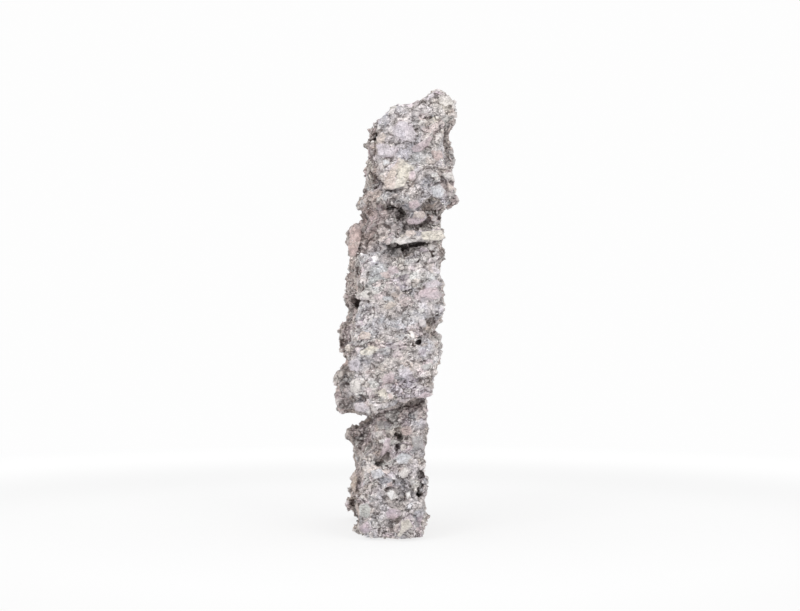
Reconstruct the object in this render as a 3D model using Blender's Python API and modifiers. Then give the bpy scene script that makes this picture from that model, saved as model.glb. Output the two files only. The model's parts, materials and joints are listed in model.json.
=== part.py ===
"""Ibigawa rock: a tall, narrow slab of breccia that stands on a flat spot under its foot.

The stone is one solid. It starts as a stack of beds, which are tapered boxes with broken sides.
Plates and lumps of harder stone stand out of their skin, and hollows mark where softer stone
has weathered out. All of it is joined, broken into blocks, and cut flat where it stands.

Metres, +Z up. The narrow broken edge faces -Y, the two broad sides face -X and +X,
and the origin is on the ground, under the middle of the stone.
"""
import random
from collections import namedtuple
from math import radians, tau

import bmesh
import bpy
from mathutils import Euler, Matrix, Vector
from mathutils.kdtree import KDTree

MM = 0.001
ROCK_NAME = "ibigawa_rock"

# Driving dimensions, in millimetres, and the fineness of the faceted stone
HEIGHT = 541
TRIANGLES = 9300

# Each bed, in millimetres. bottom and top are heights above the ground at the left broad side,
# and dip is how far both have risen at the right one. left and right are the two broad sides
# at the front, each as (at the bed's bottom, at its top). shift is how far the broad sides have
# moved to the left where the bed ends at the back. front and back are depths behind the plane
# of the broken edge.
Bed = namedtuple("Bed", "name bottom top dip left right shift front back")
BEDS = [
    Bed("foot", -12, 66, 0, (-38, -40), (30, 32), 12, -3, 100),
    Bed("foot_cheek", -12, 98, 0, (20, 20), (38, 38), 6, 10, 120),
    Bed("foot_top", 58, 98, 2, (-34, -30), (26, 30), 14, 4, 150),
    Bed("back_foot", -12, 92, 0, (-37, -26), (34, 32), 28, 90, 226),
    Bed("waist", 90, 158, 0, (-30, -24), (35, 40), 6, 30, 192),
    Bed("waist_back", 90, 129, 0, (-46, -42), (28, 28), 2, 78, 206),
    Bed("waist_rib", 106, 160, 0, (4, 10), (37, 40), 0, 21, 60),
    Bed("belly", 153, 226, 20, (-40, -45), (42, 54), 14, -5, 204),
    Bed("left_boss", 147, 202, 0, (-64, -71), (-20, -20), 6, 62, 165),
    Bed("shoulder", 220, 262, 0, (-50, -42), (48, 42), 14, -2, 226),
    Bed("left_wing", 226, 280, 0, (-62, -42), (-20, -20), 4, 46, 150),
    Bed("chest", 256, 346, 4, (-42, -34), (60, 57), 16, 1, 230),
    Bed("chest_back", 268, 380, 0, (-50, -47), (20, 20), 6, 88, 208),
    Bed("neck", 340, 408, 0, (-26, -12), (55, 58), 14, 27, 206),
    Bed("neck_ledge", 353, 366, 2, (-6, -2), (58, 61), 10, -1, 120),
    Bed("neck_slope", 350, 420, 0, (-50, -24), (10, 10), 4, 46, 156),
    Bed("head_low", 396, 442, 4, (-22, -22), (70, 72), 12, -5, 176),
    Bed("head", 432, 500, 0, (-22, -22), (68, 66), 8, 0, 158),
    Bed("crown_left", 488, 515, 0, (-22, 0), (50, 42), 6, 3, 118),
    Bed("crown_middle", 495, 526, 4, (6, 24), (66, 62), 4, 2, 84),
    Bed("crown_peak", 508, 541, 0, (38, 48), (76, 66), 2, 3, 50),
]

# Stones that stand proud in one place, and places where softer stone has weathered out.
# Each has its middle and its half sizes in millimetres, and its tilt, up to the right, in degrees
Spot = namedtuple("Spot", "name middle half tilt")
LUMPS = [
    Spot("peak_cap", (60, 14, 535), (11, 14, 7), 0),
    Spot("crown_knob", (20, 12, 508), (11, 14, 8), 20),
    Spot("head_slab", (8, 2, 476), (17, 9, 13), 12),
    Spot("cream_facet", (11, -2, 436), (12, 9, 17), 14),
    Spot("jaw_right", (60, 2, 424), (14, 10, 16), 6),
    Spot("neck_bridge", (27, 15, 384), (14, 13, 14), 24),
    Spot("neck_lip", (-12, 8, 358), (11, 9, 4), 10),
    Spot("pink_oval", (-44, 72, 352), (8, 34, 19), 0),
    Spot("chest_right_block", (50, 4, 296), (14, 9, 15), 10),
    Spot("chest_ridge", (-20, 2, 300), (16, 8, 10), 40),
    Spot("chest_left_block", (-34, 4, 262), (15, 10, 16), 30),
    Spot("belly_middle_block", (4, -1, 232), (22, 9, 14), 20),
    Spot("belly_left_block", (-38, 4, 186), (14, 12, 17), 12),
    Spot("belly_lip", (-14, 0, 158), (20, 9, 8), 6),
    Spot("belly_right_lip", (32, 0, 182), (18, 10, 7), 22),
    Spot("boss_knob", (-66, 86, 186), (12, 26, 19), 0),
    Spot("waist_knob", (-52, 92, 117), (8, 22, 11), 0),
    Spot("waist_middle_block", (-6, 28, 122), (13, 10, 18), -8),
    Spot("waist_right_chip", (37, 26, 122), (8, 14, 9), 8),
    Spot("pale_knob", (10, 8, 98), (11, 9, 9), 12),
    Spot("foot_left_block", (-22, 2, 24), (16, 10, 19), 8),
    Spot("foot_upper_block", (-10, 0, 72), (19, 8, 15), 16),
    Spot("foot_right_block", (18, 0, 34), (14, 9, 20), -6),
]
HOLLOWS = [
    Spot("ledge_gap", (10, 6, 346), (30, 28, 6.5), 4),
    Spot("ledge_gap_right", (34, 4, 350), (16, 20, 4), -8),
    Spot("ledge_gap_floor", (-2, 2, 342), (12, 14, 5), 18),
    Spot("ledge_gap_end", (-14, 8, 351), (13, 16, 4), 16),
    Spot("neck_pocket", (8, 16, 388), (13, 26, 6), -18),
    Spot("neck_pocket_roof", (-2, 12, 394), (11, 20, 4), 12),
    Spot("neck_corner", (54, 12, 389), (12, 24, 8), 8),
    Spot("neck_shade", (-14, 10, 392), (16, 12, 9), 20),
    Spot("right_step", (62, 4, 254), (18, 20, 7), 24),
    Spot("chest_crack", (-12, -3, 326), (15, 8, 3.5), 12),
    Spot("belly_slit", (22, -5, 236), (8, 10, 4), 48),
    Spot("belly_seam", (-14, 12, 144), (30, 24, 7), 3),
    Spot("belly_seam_right", (26, 12, 163), (24, 24, 8), 20),
    Spot("belly_pit", (16, -4, 160), (9, 10, 5), 10),
    Spot("waist_left_gap", (-50, 96, 138), (24, 120, 7), 0),
    Spot("waist_pit", (6, 14, 126), (9, 13, 10), 20),
    Spot("waist_shelf_gap", (-14, 10, 100), (18, 14, 5), 10),
    Spot("foot_groove", (33, -2, 66), (3.5, 17, 22), 3),
    Spot("foot_crack", (-8, -4, 20), (3, 8, 12), 10),
    Spot("heel_gap", (-52, 40, 60), (16, 46, 26), 0),
]

# Plates that lie along the bedding on the broad sides and the back, and gullies between them.
# Each size is out of the skin, along it and up it, as (middle, how far it varies), in millimetres.
# A plate's is its whole size, and a gully's is half. Both need skin within END_GAP of their ends.
BEDDING_TILT = 10
PLATES = 60
PLATE_SIZE = ((14, 5), (62, 34), (18, 8))
PLATE_BREAK = 0.09
GULLIES = 18
GULLY_SIZE = ((17, 5), (40, 16), (11, 3))
END_REACH = 0.5
END_GAP = 7

# Rubble all over the skin: its radius in millimetres, and its other sizes, sinking and
# unevenness as shares of that radius
RUBBLE = 520
RUBBLE_RADIUS = (6, 14)
FRONT_RUBBLE = 0.7
RUBBLE_FLATNESS = (0.45, 0.9)
RUBBLE_SINK = 0.8
RUBBLE_BREAK = 0.18
HOLLOW_BREAK = 0.22
SEED = 41

# How uneven the skin is, in millimetres: each kind as (size, depth)
BED_CUTS = 5
BED_BREAK = 4
SWELL = (46, 7)
BLOCKS = (34, 20)
CLASTS = (15, 11)
GRIT = (7, 3)
BEDDING_STRETCH = (1.3, 1.3, 0.75)

# How fine the joined skin is at each stage, in millimetres
SKIN_VOXEL = 7
BLOCK_VOXEL = 4
LAST_VOXEL = 3.4

# The block under the ground, which cuts the foot flat, in millimetres
GROUND_SIZE = 600

# The stone's colour (linear), and how dull it is
STONE_GREY = (0.462, 0.418, 0.413, 1)
STONE_ROUGHNESS = 0.92


def put_away_the_old_scene():
    for old in list(bpy.data.objects):
        bpy.data.objects.remove(old)


def collection_named(name):
    made = bpy.data.collections.new(name)
    bpy.context.scene.collection.children.link(made)
    return made


def object_from(shape, name, collection):
    """Makes a bmesh an object in a collection, and frees the bmesh."""
    mesh = bpy.data.meshes.new(name)
    shape.to_mesh(mesh)
    shape.free()
    made = bpy.data.objects.new(name, mesh)
    collection.objects.link(made)
    return made


def shaken(points, reach, dice):
    """Moves points by up to reach each way, as broken stone is uneven."""
    for point in points:
        point.co += Vector([dice.uniform(-reach, reach) for _ in range(3)])


def spread(size_and_spread, dice):
    """A random length in metres from a middle value and how far it varies, in millimetres."""
    middle, vary = size_and_spread
    return dice.uniform(middle - vary, middle + vary) * MM


def add_bed(stone, bed, dice):
    """Adds a bed: a tapered box, cut into a grid whose points are shaken."""
    first = len(stone.verts)
    corners = bmesh.ops.create_cube(stone, size=1.0)["verts"]
    for corner in corners:
        at_right = corner.co.x > 0
        at_back = corner.co.y > 0
        at_top = corner.co.z > 0
        side = bed.right if at_right else bed.left
        corner.co.x = side[at_top] - (bed.shift if at_back else 0)
        corner.co.y = bed.back if at_back else bed.front
        corner.co.z = (bed.top if at_top else bed.bottom) + (bed.dip if at_right else 0)
        corner.co *= MM
    edges = list({edge for corner in corners for edge in corner.link_edges})
    bmesh.ops.subdivide_edges(stone, edges=edges, cuts=BED_CUTS, use_grid_fill=True)
    stone.verts.ensure_lookup_table()
    shaken(stone.verts[first:], BED_BREAK * MM, dice)


def spot_matrix(spot):
    """A matrix that takes a ball of radius 1 to a spot's place, tilt and size."""
    middle = Matrix.Translation(Vector(spot.middle) * MM)
    tilt = Matrix.Rotation(-radians(spot.tilt), 4, "Y")
    return middle @ tilt @ Matrix.Diagonal((*(Vector(spot.half) * MM), 1))


def add_lump(stone, placed, roughness, dice):
    """Adds an angular stone: a coarse ball, stretched by placed, with its corners shaken."""
    lump = bmesh.ops.create_icosphere(stone, subdivisions=1, radius=1.0)
    shaken(lump["verts"], roughness, dice)
    bmesh.ops.transform(stone, matrix=placed, verts=lump["verts"])


def along_the_skin(place, tilt, sizes):
    """A matrix for a thing that lies on the skin. Its axes are out of it, along it and up it."""
    middle, outward = place
    out = Vector((outward.x, outward.y, 0)).normalized()
    along = Vector((0, 0, 1)).cross(out)
    axes = Matrix((out, along, (0, 0, 1))).transposed().to_4x4()
    return Matrix.Translation(middle) @ axes @ Matrix.Rotation(tilt, 4, "X") @ Matrix.Diagonal((*sizes, 1))


def skin_places(rock):
    """The middle and the outward direction of small even patches of the joined beds' skin."""
    joined = remeshed(rock, "bare_skin", SKIN_VOXEL)
    graph = bpy.context.evaluated_depsgraph_get()
    skin = rock.evaluated_get(graph).data
    places = [(face.center.copy(), face.normal.copy()) for face in skin.polygons if face.center.z > 0]
    rock.modifiers.remove(joined)
    return places


def bedded_matrices(places, count, size, dice):
    """Matrices for things that lie along the bedding with both of their ends on the skin."""
    skin = KDTree(len(places))
    for number, (middle, _) in enumerate(places):
        skin.insert(middle, number)
    skin.balance()
    placed = []
    while len(placed) < count:
        tilt = radians(dice.gauss(BEDDING_TILT / 2, BEDDING_TILT / 2))
        lies = along_the_skin(dice.choice(places), tilt, [spread(length, dice) for length in size])
        ends = [lies @ Vector((0, end, 0)) for end in (-END_REACH, END_REACH)]
        if all(skin.find(end)[2] < END_GAP * MM for end in ends):
            placed.append(lies)
    return placed


def add_plates(stone, places, dice):
    """Adds slabs that lie along the bedding, half in the skin."""
    for lies in bedded_matrices(places, PLATES, PLATE_SIZE, dice):
        first = len(stone.verts)
        corners = bmesh.ops.create_cube(stone, size=1.0)["verts"]
        edges = list({edge for corner in corners for edge in corner.link_edges})
        bmesh.ops.subdivide_edges(stone, edges=edges, cuts=2, use_grid_fill=True)
        stone.verts.ensure_lookup_table()
        shaken(stone.verts[first:], PLATE_BREAK, dice)
        bmesh.ops.transform(stone, matrix=lies, verts=stone.verts[first:])


def add_rubble(stone, places, dice):
    """Adds angular stones of all sizes, turned anyhow and sunk in the skin."""
    for middle, outward in dice.choices(places, k=RUBBLE):
        radius = dice.uniform(*RUBBLE_RADIUS) * MM * (FRONT_RUBBLE if outward.y < -0.5 else 1)
        sizes = [radius, radius * dice.uniform(*RUBBLE_FLATNESS), radius * dice.uniform(*RUBBLE_FLATNESS)]
        turn = Euler([dice.uniform(0, tau) for _ in range(3)]).to_matrix().to_4x4()
        sunk = Matrix.Translation(middle - outward * min(sizes) * RUBBLE_SINK)
        add_lump(stone, sunk @ turn @ Matrix.Diagonal((*sizes, 1)), RUBBLE_BREAK, dice)


def add_cutter(name, placed, cutters, dice):
    """Adds an uneven ball, stretched by placed, which a Boolean takes out of the stone."""
    shape = bmesh.new()
    bmesh.ops.create_icosphere(shape, subdivisions=2, radius=1.0)
    shaken(shape.verts, HOLLOW_BREAK, dice)
    shape.transform(placed)
    cutter = object_from(shape, name, cutters)
    cutter.hide_render = True
    cutter.display_type = "WIRE"


def add_ground(cutters):
    """A block under the ground, which cuts the foot flat."""
    shape = bmesh.new()
    bmesh.ops.create_cube(shape, size=GROUND_SIZE * MM)
    bmesh.ops.translate(shape, vec=(0, 0, -GROUND_SIZE / 2 * MM), verts=shape.verts)
    ground = object_from(shape, "ground", cutters)
    ground.hide_render = True
    ground.display_type = "WIRE"
    return ground


def remeshed(rock, name, voxel):
    whole = rock.modifiers.new(name, "REMESH")
    whole.mode = "VOXEL"
    whole.voxel_size = voxel * MM
    return whole


def cut_by(rock, name, collection):
    cut = rock.modifiers.new(name, "BOOLEAN")
    cut.operation = "DIFFERENCE"
    cut.operand_type = "COLLECTION"
    cut.collection = collection
    cut.solver = "EXACT"


def uneven(rock, name, kind, size_and_depth, bedding=None):
    """Raises and lowers the skin, by blocks at different heights or by soft swellings."""
    size, depth = size_and_depth
    texture = bpy.data.textures.new(name, kind)
    texture.noise_scale = size * MM
    if kind == "VORONOI":
        texture.color_mode = "POSITION"
    push = rock.modifiers.new(name, "DISPLACE")
    push.texture = texture
    push.strength = depth * MM
    push.mid_level = 0.5
    if bedding:
        push.texture_coords = "OBJECT"
        push.texture_coords_object = bedding


def settled(rock):
    """Makes the modifiers' result the rock's own mesh."""
    graph = bpy.context.evaluated_depsgraph_get()
    mesh = bpy.data.meshes.new_from_object(rock.evaluated_get(graph))
    rock.modifiers.clear()
    rock.data = mesh
    return mesh


def without_crumbs(mesh):
    """Keeps the stone itself, and drops loose crumbs and sealed bubbles that the breaking left."""
    shape = bmesh.new()
    shape.from_mesh(mesh)
    unseen = set(shape.verts)
    pieces = []
    while unseen:
        piece = set()
        growing = [next(iter(unseen))]
        while growing:
            point = growing.pop()
            if point in unseen:
                unseen.remove(point)
                piece.add(point)
                growing.extend(edge.other_vert(point) for edge in point.link_edges)
        pieces.append(piece)
    stone = max(pieces, key=len)
    bmesh.ops.delete(shape, geom=[point for point in shape.verts if point not in stone], context="VERTS")
    shape.to_mesh(mesh)
    shape.free()
    mesh.calc_loop_triangles()


def stone_material():
    material = bpy.data.materials.new("breccia")
    material.use_nodes = True
    shader = material.node_tree.nodes["Principled BSDF"]
    shader.inputs["Base Color"].default_value = STONE_GREY
    shader.inputs["Roughness"].default_value = STONE_ROUGHNESS
    shader.inputs["Metallic"].default_value = 0
    return material


def centred(mesh):
    """Gives the stone its exact height, and puts the origin under the middle of its box."""
    low = Vector([min(point.co[axis] for point in mesh.vertices) for axis in range(3)])
    high = Vector([max(point.co[axis] for point in mesh.vertices) for axis in range(3)])
    size = HEIGHT * MM / (high.z - low.z)
    middle = Vector(((low.x + high.x) / 2, (low.y + high.y) / 2, low.z))
    mesh.transform(Matrix.Scale(size, 4) @ Matrix.Translation(-middle))


def main():
    put_away_the_old_scene()
    parts = collection_named("ibigawa_rock_parts")
    gullies = collection_named("gully_cutters")
    hollows = collection_named("hollow_cutters")
    footing = collection_named("ground_cutter")
    dice = random.Random(SEED)

    stone = bmesh.new()
    for bed in BEDS:
        add_bed(stone, bed, dice)
    rock = object_from(stone, ROCK_NAME, parts)
    places = skin_places(rock)
    sides = [place for place in places if place[1].y > -0.5 and abs(place[1].z) < 0.5]

    stone = bmesh.new()
    stone.from_mesh(rock.data)
    add_plates(stone, sides, dice)
    add_rubble(stone, places, dice)
    for lump in LUMPS:
        add_lump(stone, spot_matrix(lump), RUBBLE_BREAK, dice)
    stone.to_mesh(rock.data)
    stone.free()

    for hollow in HOLLOWS:
        add_cutter("cut_" + hollow.name, spot_matrix(hollow), hollows, dice)
    for number, lies in enumerate(bedded_matrices(sides, GULLIES, GULLY_SIZE, dice)):
        add_cutter(f"gully_{number + 1}", lies, gullies, dice)

    bedding = bpy.data.objects.new("bedding", None)
    bedding.rotation_euler = (0, -radians(BEDDING_TILT), 0)
    bedding.scale = BEDDING_STRETCH
    parts.objects.link(bedding)
    bpy.context.view_layer.update()

    remeshed(rock, "join_beds", BLOCK_VOXEL)
    cut_by(rock, "gullies", gullies)
    uneven(rock, "swell", "CLOUDS", SWELL)
    uneven(rock, "blocks", "VORONOI", BLOCKS, bedding)
    remeshed(rock, "block_skin", BLOCK_VOXEL)
    uneven(rock, "clasts", "VORONOI", CLASTS, bedding)
    uneven(rock, "grit", "CLOUDS", GRIT)
    cut_by(rock, "hollows", hollows)
    remeshed(rock, "even_skin", LAST_VOXEL)
    skin = settled(rock)
    without_crumbs(skin)

    fewer = rock.modifiers.new("fewer_faces", "DECIMATE")
    fewer.ratio = TRIANGLES / len(skin.loop_triangles)
    add_ground(footing)
    cut_by(rock, "flat_foot", footing)
    centred(settled(rock))
    rock.data.materials.append(stone_material())


main()
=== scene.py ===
"""Dresses the ibigawa rock: fine relief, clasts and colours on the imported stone, in a plain studio.

The stone is one mesh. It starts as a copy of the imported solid, gets its pockets, its clasts and
its chips, and is then given relief by a Geometry Nodes tree. Metres, +Z up.
"""
import json
import math
import random
from collections import namedtuple

import bmesh
import bpy
import numpy as np
from bpy.props import FloatProperty, FloatVectorProperty, IntProperty, PointerProperty
from mathutils import Matrix, Vector
from mathutils.bvhtree import BVHTree

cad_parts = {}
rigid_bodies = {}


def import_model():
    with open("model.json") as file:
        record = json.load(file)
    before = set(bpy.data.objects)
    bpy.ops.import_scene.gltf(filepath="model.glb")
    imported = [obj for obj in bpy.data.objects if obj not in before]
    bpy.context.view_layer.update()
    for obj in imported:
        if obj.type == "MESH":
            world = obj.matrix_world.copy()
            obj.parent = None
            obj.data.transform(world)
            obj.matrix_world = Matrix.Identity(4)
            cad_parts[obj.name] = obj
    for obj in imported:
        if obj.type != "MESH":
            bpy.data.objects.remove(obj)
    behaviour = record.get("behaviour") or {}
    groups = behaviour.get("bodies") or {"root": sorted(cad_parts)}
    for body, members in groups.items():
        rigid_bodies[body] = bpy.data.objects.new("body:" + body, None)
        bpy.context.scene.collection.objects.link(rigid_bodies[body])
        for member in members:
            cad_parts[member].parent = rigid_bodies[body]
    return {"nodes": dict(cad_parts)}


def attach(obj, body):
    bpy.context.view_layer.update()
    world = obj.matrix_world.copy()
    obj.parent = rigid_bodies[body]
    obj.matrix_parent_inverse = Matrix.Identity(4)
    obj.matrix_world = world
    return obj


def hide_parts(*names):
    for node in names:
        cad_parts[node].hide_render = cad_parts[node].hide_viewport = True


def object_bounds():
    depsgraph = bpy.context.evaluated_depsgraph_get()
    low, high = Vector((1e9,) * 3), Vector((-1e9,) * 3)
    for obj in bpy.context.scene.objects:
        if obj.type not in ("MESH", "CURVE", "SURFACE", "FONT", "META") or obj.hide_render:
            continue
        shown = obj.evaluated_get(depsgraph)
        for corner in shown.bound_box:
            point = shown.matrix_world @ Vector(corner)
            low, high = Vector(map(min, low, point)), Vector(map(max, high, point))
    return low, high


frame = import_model()
CAD_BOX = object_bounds()

bl_info = {
    "name": "Ibigawa rock",
    "version": (1, 0, 0),
    "blender": (4, 5, 0),
    "location": "3D View > Sidebar > Stone",
    "description": "Makes the fine surface of an ibigawa rock around its packed solid",
    "category": "Object",
}

MM = 0.001
SOLID = "ibigawa_rock"
STONE = "ibigawa_stone"
GRAINS = "ibigawa_grains"
TINTS = ["cream", "pink", "lavender", "blue", "peach", "mauve", "pale", "green", "rose", "slate", "tan"]
STONE_SHARE = 1.10
SHELTER_RAYS = 16
SHELTER_NEAR = 8 * MM
SHELTER_FAR = 70 * MM

# The picture: its size in pixels, and the size of one of its pixels on the stone's front
PICTURE_WIDTH = 800
PICTURE_HEIGHT = 611
PIXEL = 1.187 * MM
SENSOR_WIDTH = 36
CLAST_DEEP = 9 * MM
CLAST_LEAN = 9 * MM
CLAST_REACH = 8 * MM
CAMERA_DISTANCE = 2.0
CAMERA_HEIGHT = 279.5 * MM
CAMERA_SIDE = 7.0 * MM
FRONT_LUMPS = 13.6 * MM
FRONT_PLANE = CAD_BOX[0][1] + FRONT_LUMPS

# Where the broken front edge meets the broad left face, in pixels: (down, across) from the top left
FACE_EDGE = [(100, 384), (120, 377), (180, 378), (200, 383), (212, 392), (235, 375), (245, 362), (262, 357),
             (285, 353), (300, 351), (330, 349), (370, 350), (385, 347), (400, 350), (412, 356), (420, 367),
             (435, 362), (450, 360), (462, 358), (470, 362), (490, 359), (505, 357), (520, 357), (532, 362)]

# How the places below are written: middle and half size are in the picture's pixels, and tilt is in
# degrees, up to the right. deep is the half size away from the picture, and front how far behind the
# stone's front plane a thing starts, both in millimetres.
Form = namedtuple("Form", "name middle half deep front tilt")

# Forms that are added to the solid
FORMS = [
    Form("cave_fill_left", (390, 250), (13, 7), 24, 15, 4),
    Form("cave_fill_middle", (406, 249), (12, 6), 24, 13, 4),
    Form("cave_fill_right", (420, 248), (12, 5), 20, 7, 4),
    Form("slab", (414, 238), (32, 4.5), 14, -6, 6),
    Form("slab_left_lip", (389, 242), (11, 2.4), 10, -4, 14),
    Form("neck_lump", (419, 216), (17, 6), 20, 4, 12),
    Form("neck_back", (396, 222), (24, 14), 24, 17, 8),
    Form("jaw_block", (441, 189), (14, 14), 16, -8, 8),
    Form("jaw_rim", (438, 177), (14, 3), 12, -10, 4),
    Form("jaw_right_corner", (450, 186), (6, 9), 20, -5, 0),
    Form("jaw_shelf", (392, 197), (12, 4), 10, -8, -6),
    Form("head_left_wall", (372, 156), (5, 34), 55, 6, 0),
    Form("left_neck_edge", (364, 214), (6, 7), 22, 52, 0),
    Form("chest_left_edge", (353, 302), (9, 13), 40, 36, 0),
    Form("belly_left_edge", (342, 342), (6, 10), 16, 26, 0),
    Form("belly_lip", (380, 406), (26, 6), 13, -6, 10),
    Form("belly_lip_right", (424, 391), (11, 5), 14, -9, 22),
    Form("boss_low", (344, 404), (9, 8), 24, 50, 0),
    Form("foot_brow", (398, 463), (22, 4), 10, -2, 8),
    Form("belly_low_lobe", (362, 405), (10, 7), 14, -4, 0),
    Form("foot_right_edge", (423, 478), (5.6, 9), 14, 8, 0),
    Form("heel_edge", (350, 504), (8, 10), 18, 180, 0),
]

# Places where stone is missing: the pockets, and what is taken off the outline
POCKETS = [
    Form("under_jaw", (402, 213), (5, 5), 10, 14, 10),
    Form("under_jaw_left", (394, 208.5), (6, 2), 9, 9, -12),
    Form("right_corner", (440, 210), (7.5, 3), 14, 11, 16),
    Form("right_corner_low", (438, 215), (2, 4), 8, 18, 0),
    Form("neck_line", (428, 225), (13, 1.4), 8, 8, 8),
    Form("slab_pit", (397, 237), (2.4, 1.6), 6, -4, 0),
    Form("under_slab_left", (388, 245.5), (6, 2.2), 12, 6, -16),
    Form("under_slab", (400, 247.5), (12, 3.2), 14, 2, 0),
    Form("under_slab_right", (418, 244), (12, 1.9), 12, 2, 8),
    Form("belly_slit", (418, 342), (5, 1.4), 7, -8, 48),
    Form("boss_shade", (346, 380), (3, 4), 8, 20, 40),
    Form("belly_low_pit", (412, 405), (9, 2), 9, 12, 20),
    Form("belly_edge", (358, 399.5), (5, 1.6), 8, -8, 0),
    Form("under_belly_left", (379, 415), (9, 3), 9, 12, 14),
    Form("waist_pit", (399, 437), (3, 3), 8, 16, 0),
    Form("waist_pit_low", (398, 449), (2, 4), 6, 16, 10),
    Form("waist_left_pit", (360, 444), (4, 4), 10, 50, 0),
    Form("waist_low_pit", (379, 463), (2.4, 2), 6, 0, 0),
    Form("foot_groove", (420.5, 486), (1.5, 14), 8, 4, 0),
    Form("jaw_pit", (435, 179), (5.5, 1.6), 6, -8, 4),
    Form("head_left_off", (360, 136), (8.5, 17), 60, 80, 0),
    Form("head_left_low_off", (358, 181), (8, 12), 60, 40, 0),
    Form("head_right_off", (457, 142), (7, 13), 50, 30, 0),
    Form("jaw_low_off", (457, 208), (9, 5), 60, -30, 0),
    Form("right_spike_off", (451, 254), (7, 8), 60, 10, 0),
    Form("belly_right_high_off", (445, 328), (9, 9), 60, -20, 0),
    Form("belly_right_off", (447, 343), (7.5, 11), 60, -20, 0),
    Form("belly_low_left_off", (350, 421), (12, 7), 40, 0, 14),
    Form("waist_right_off", (439, 440), (8, 14), 60, 0, 0),
]

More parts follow.
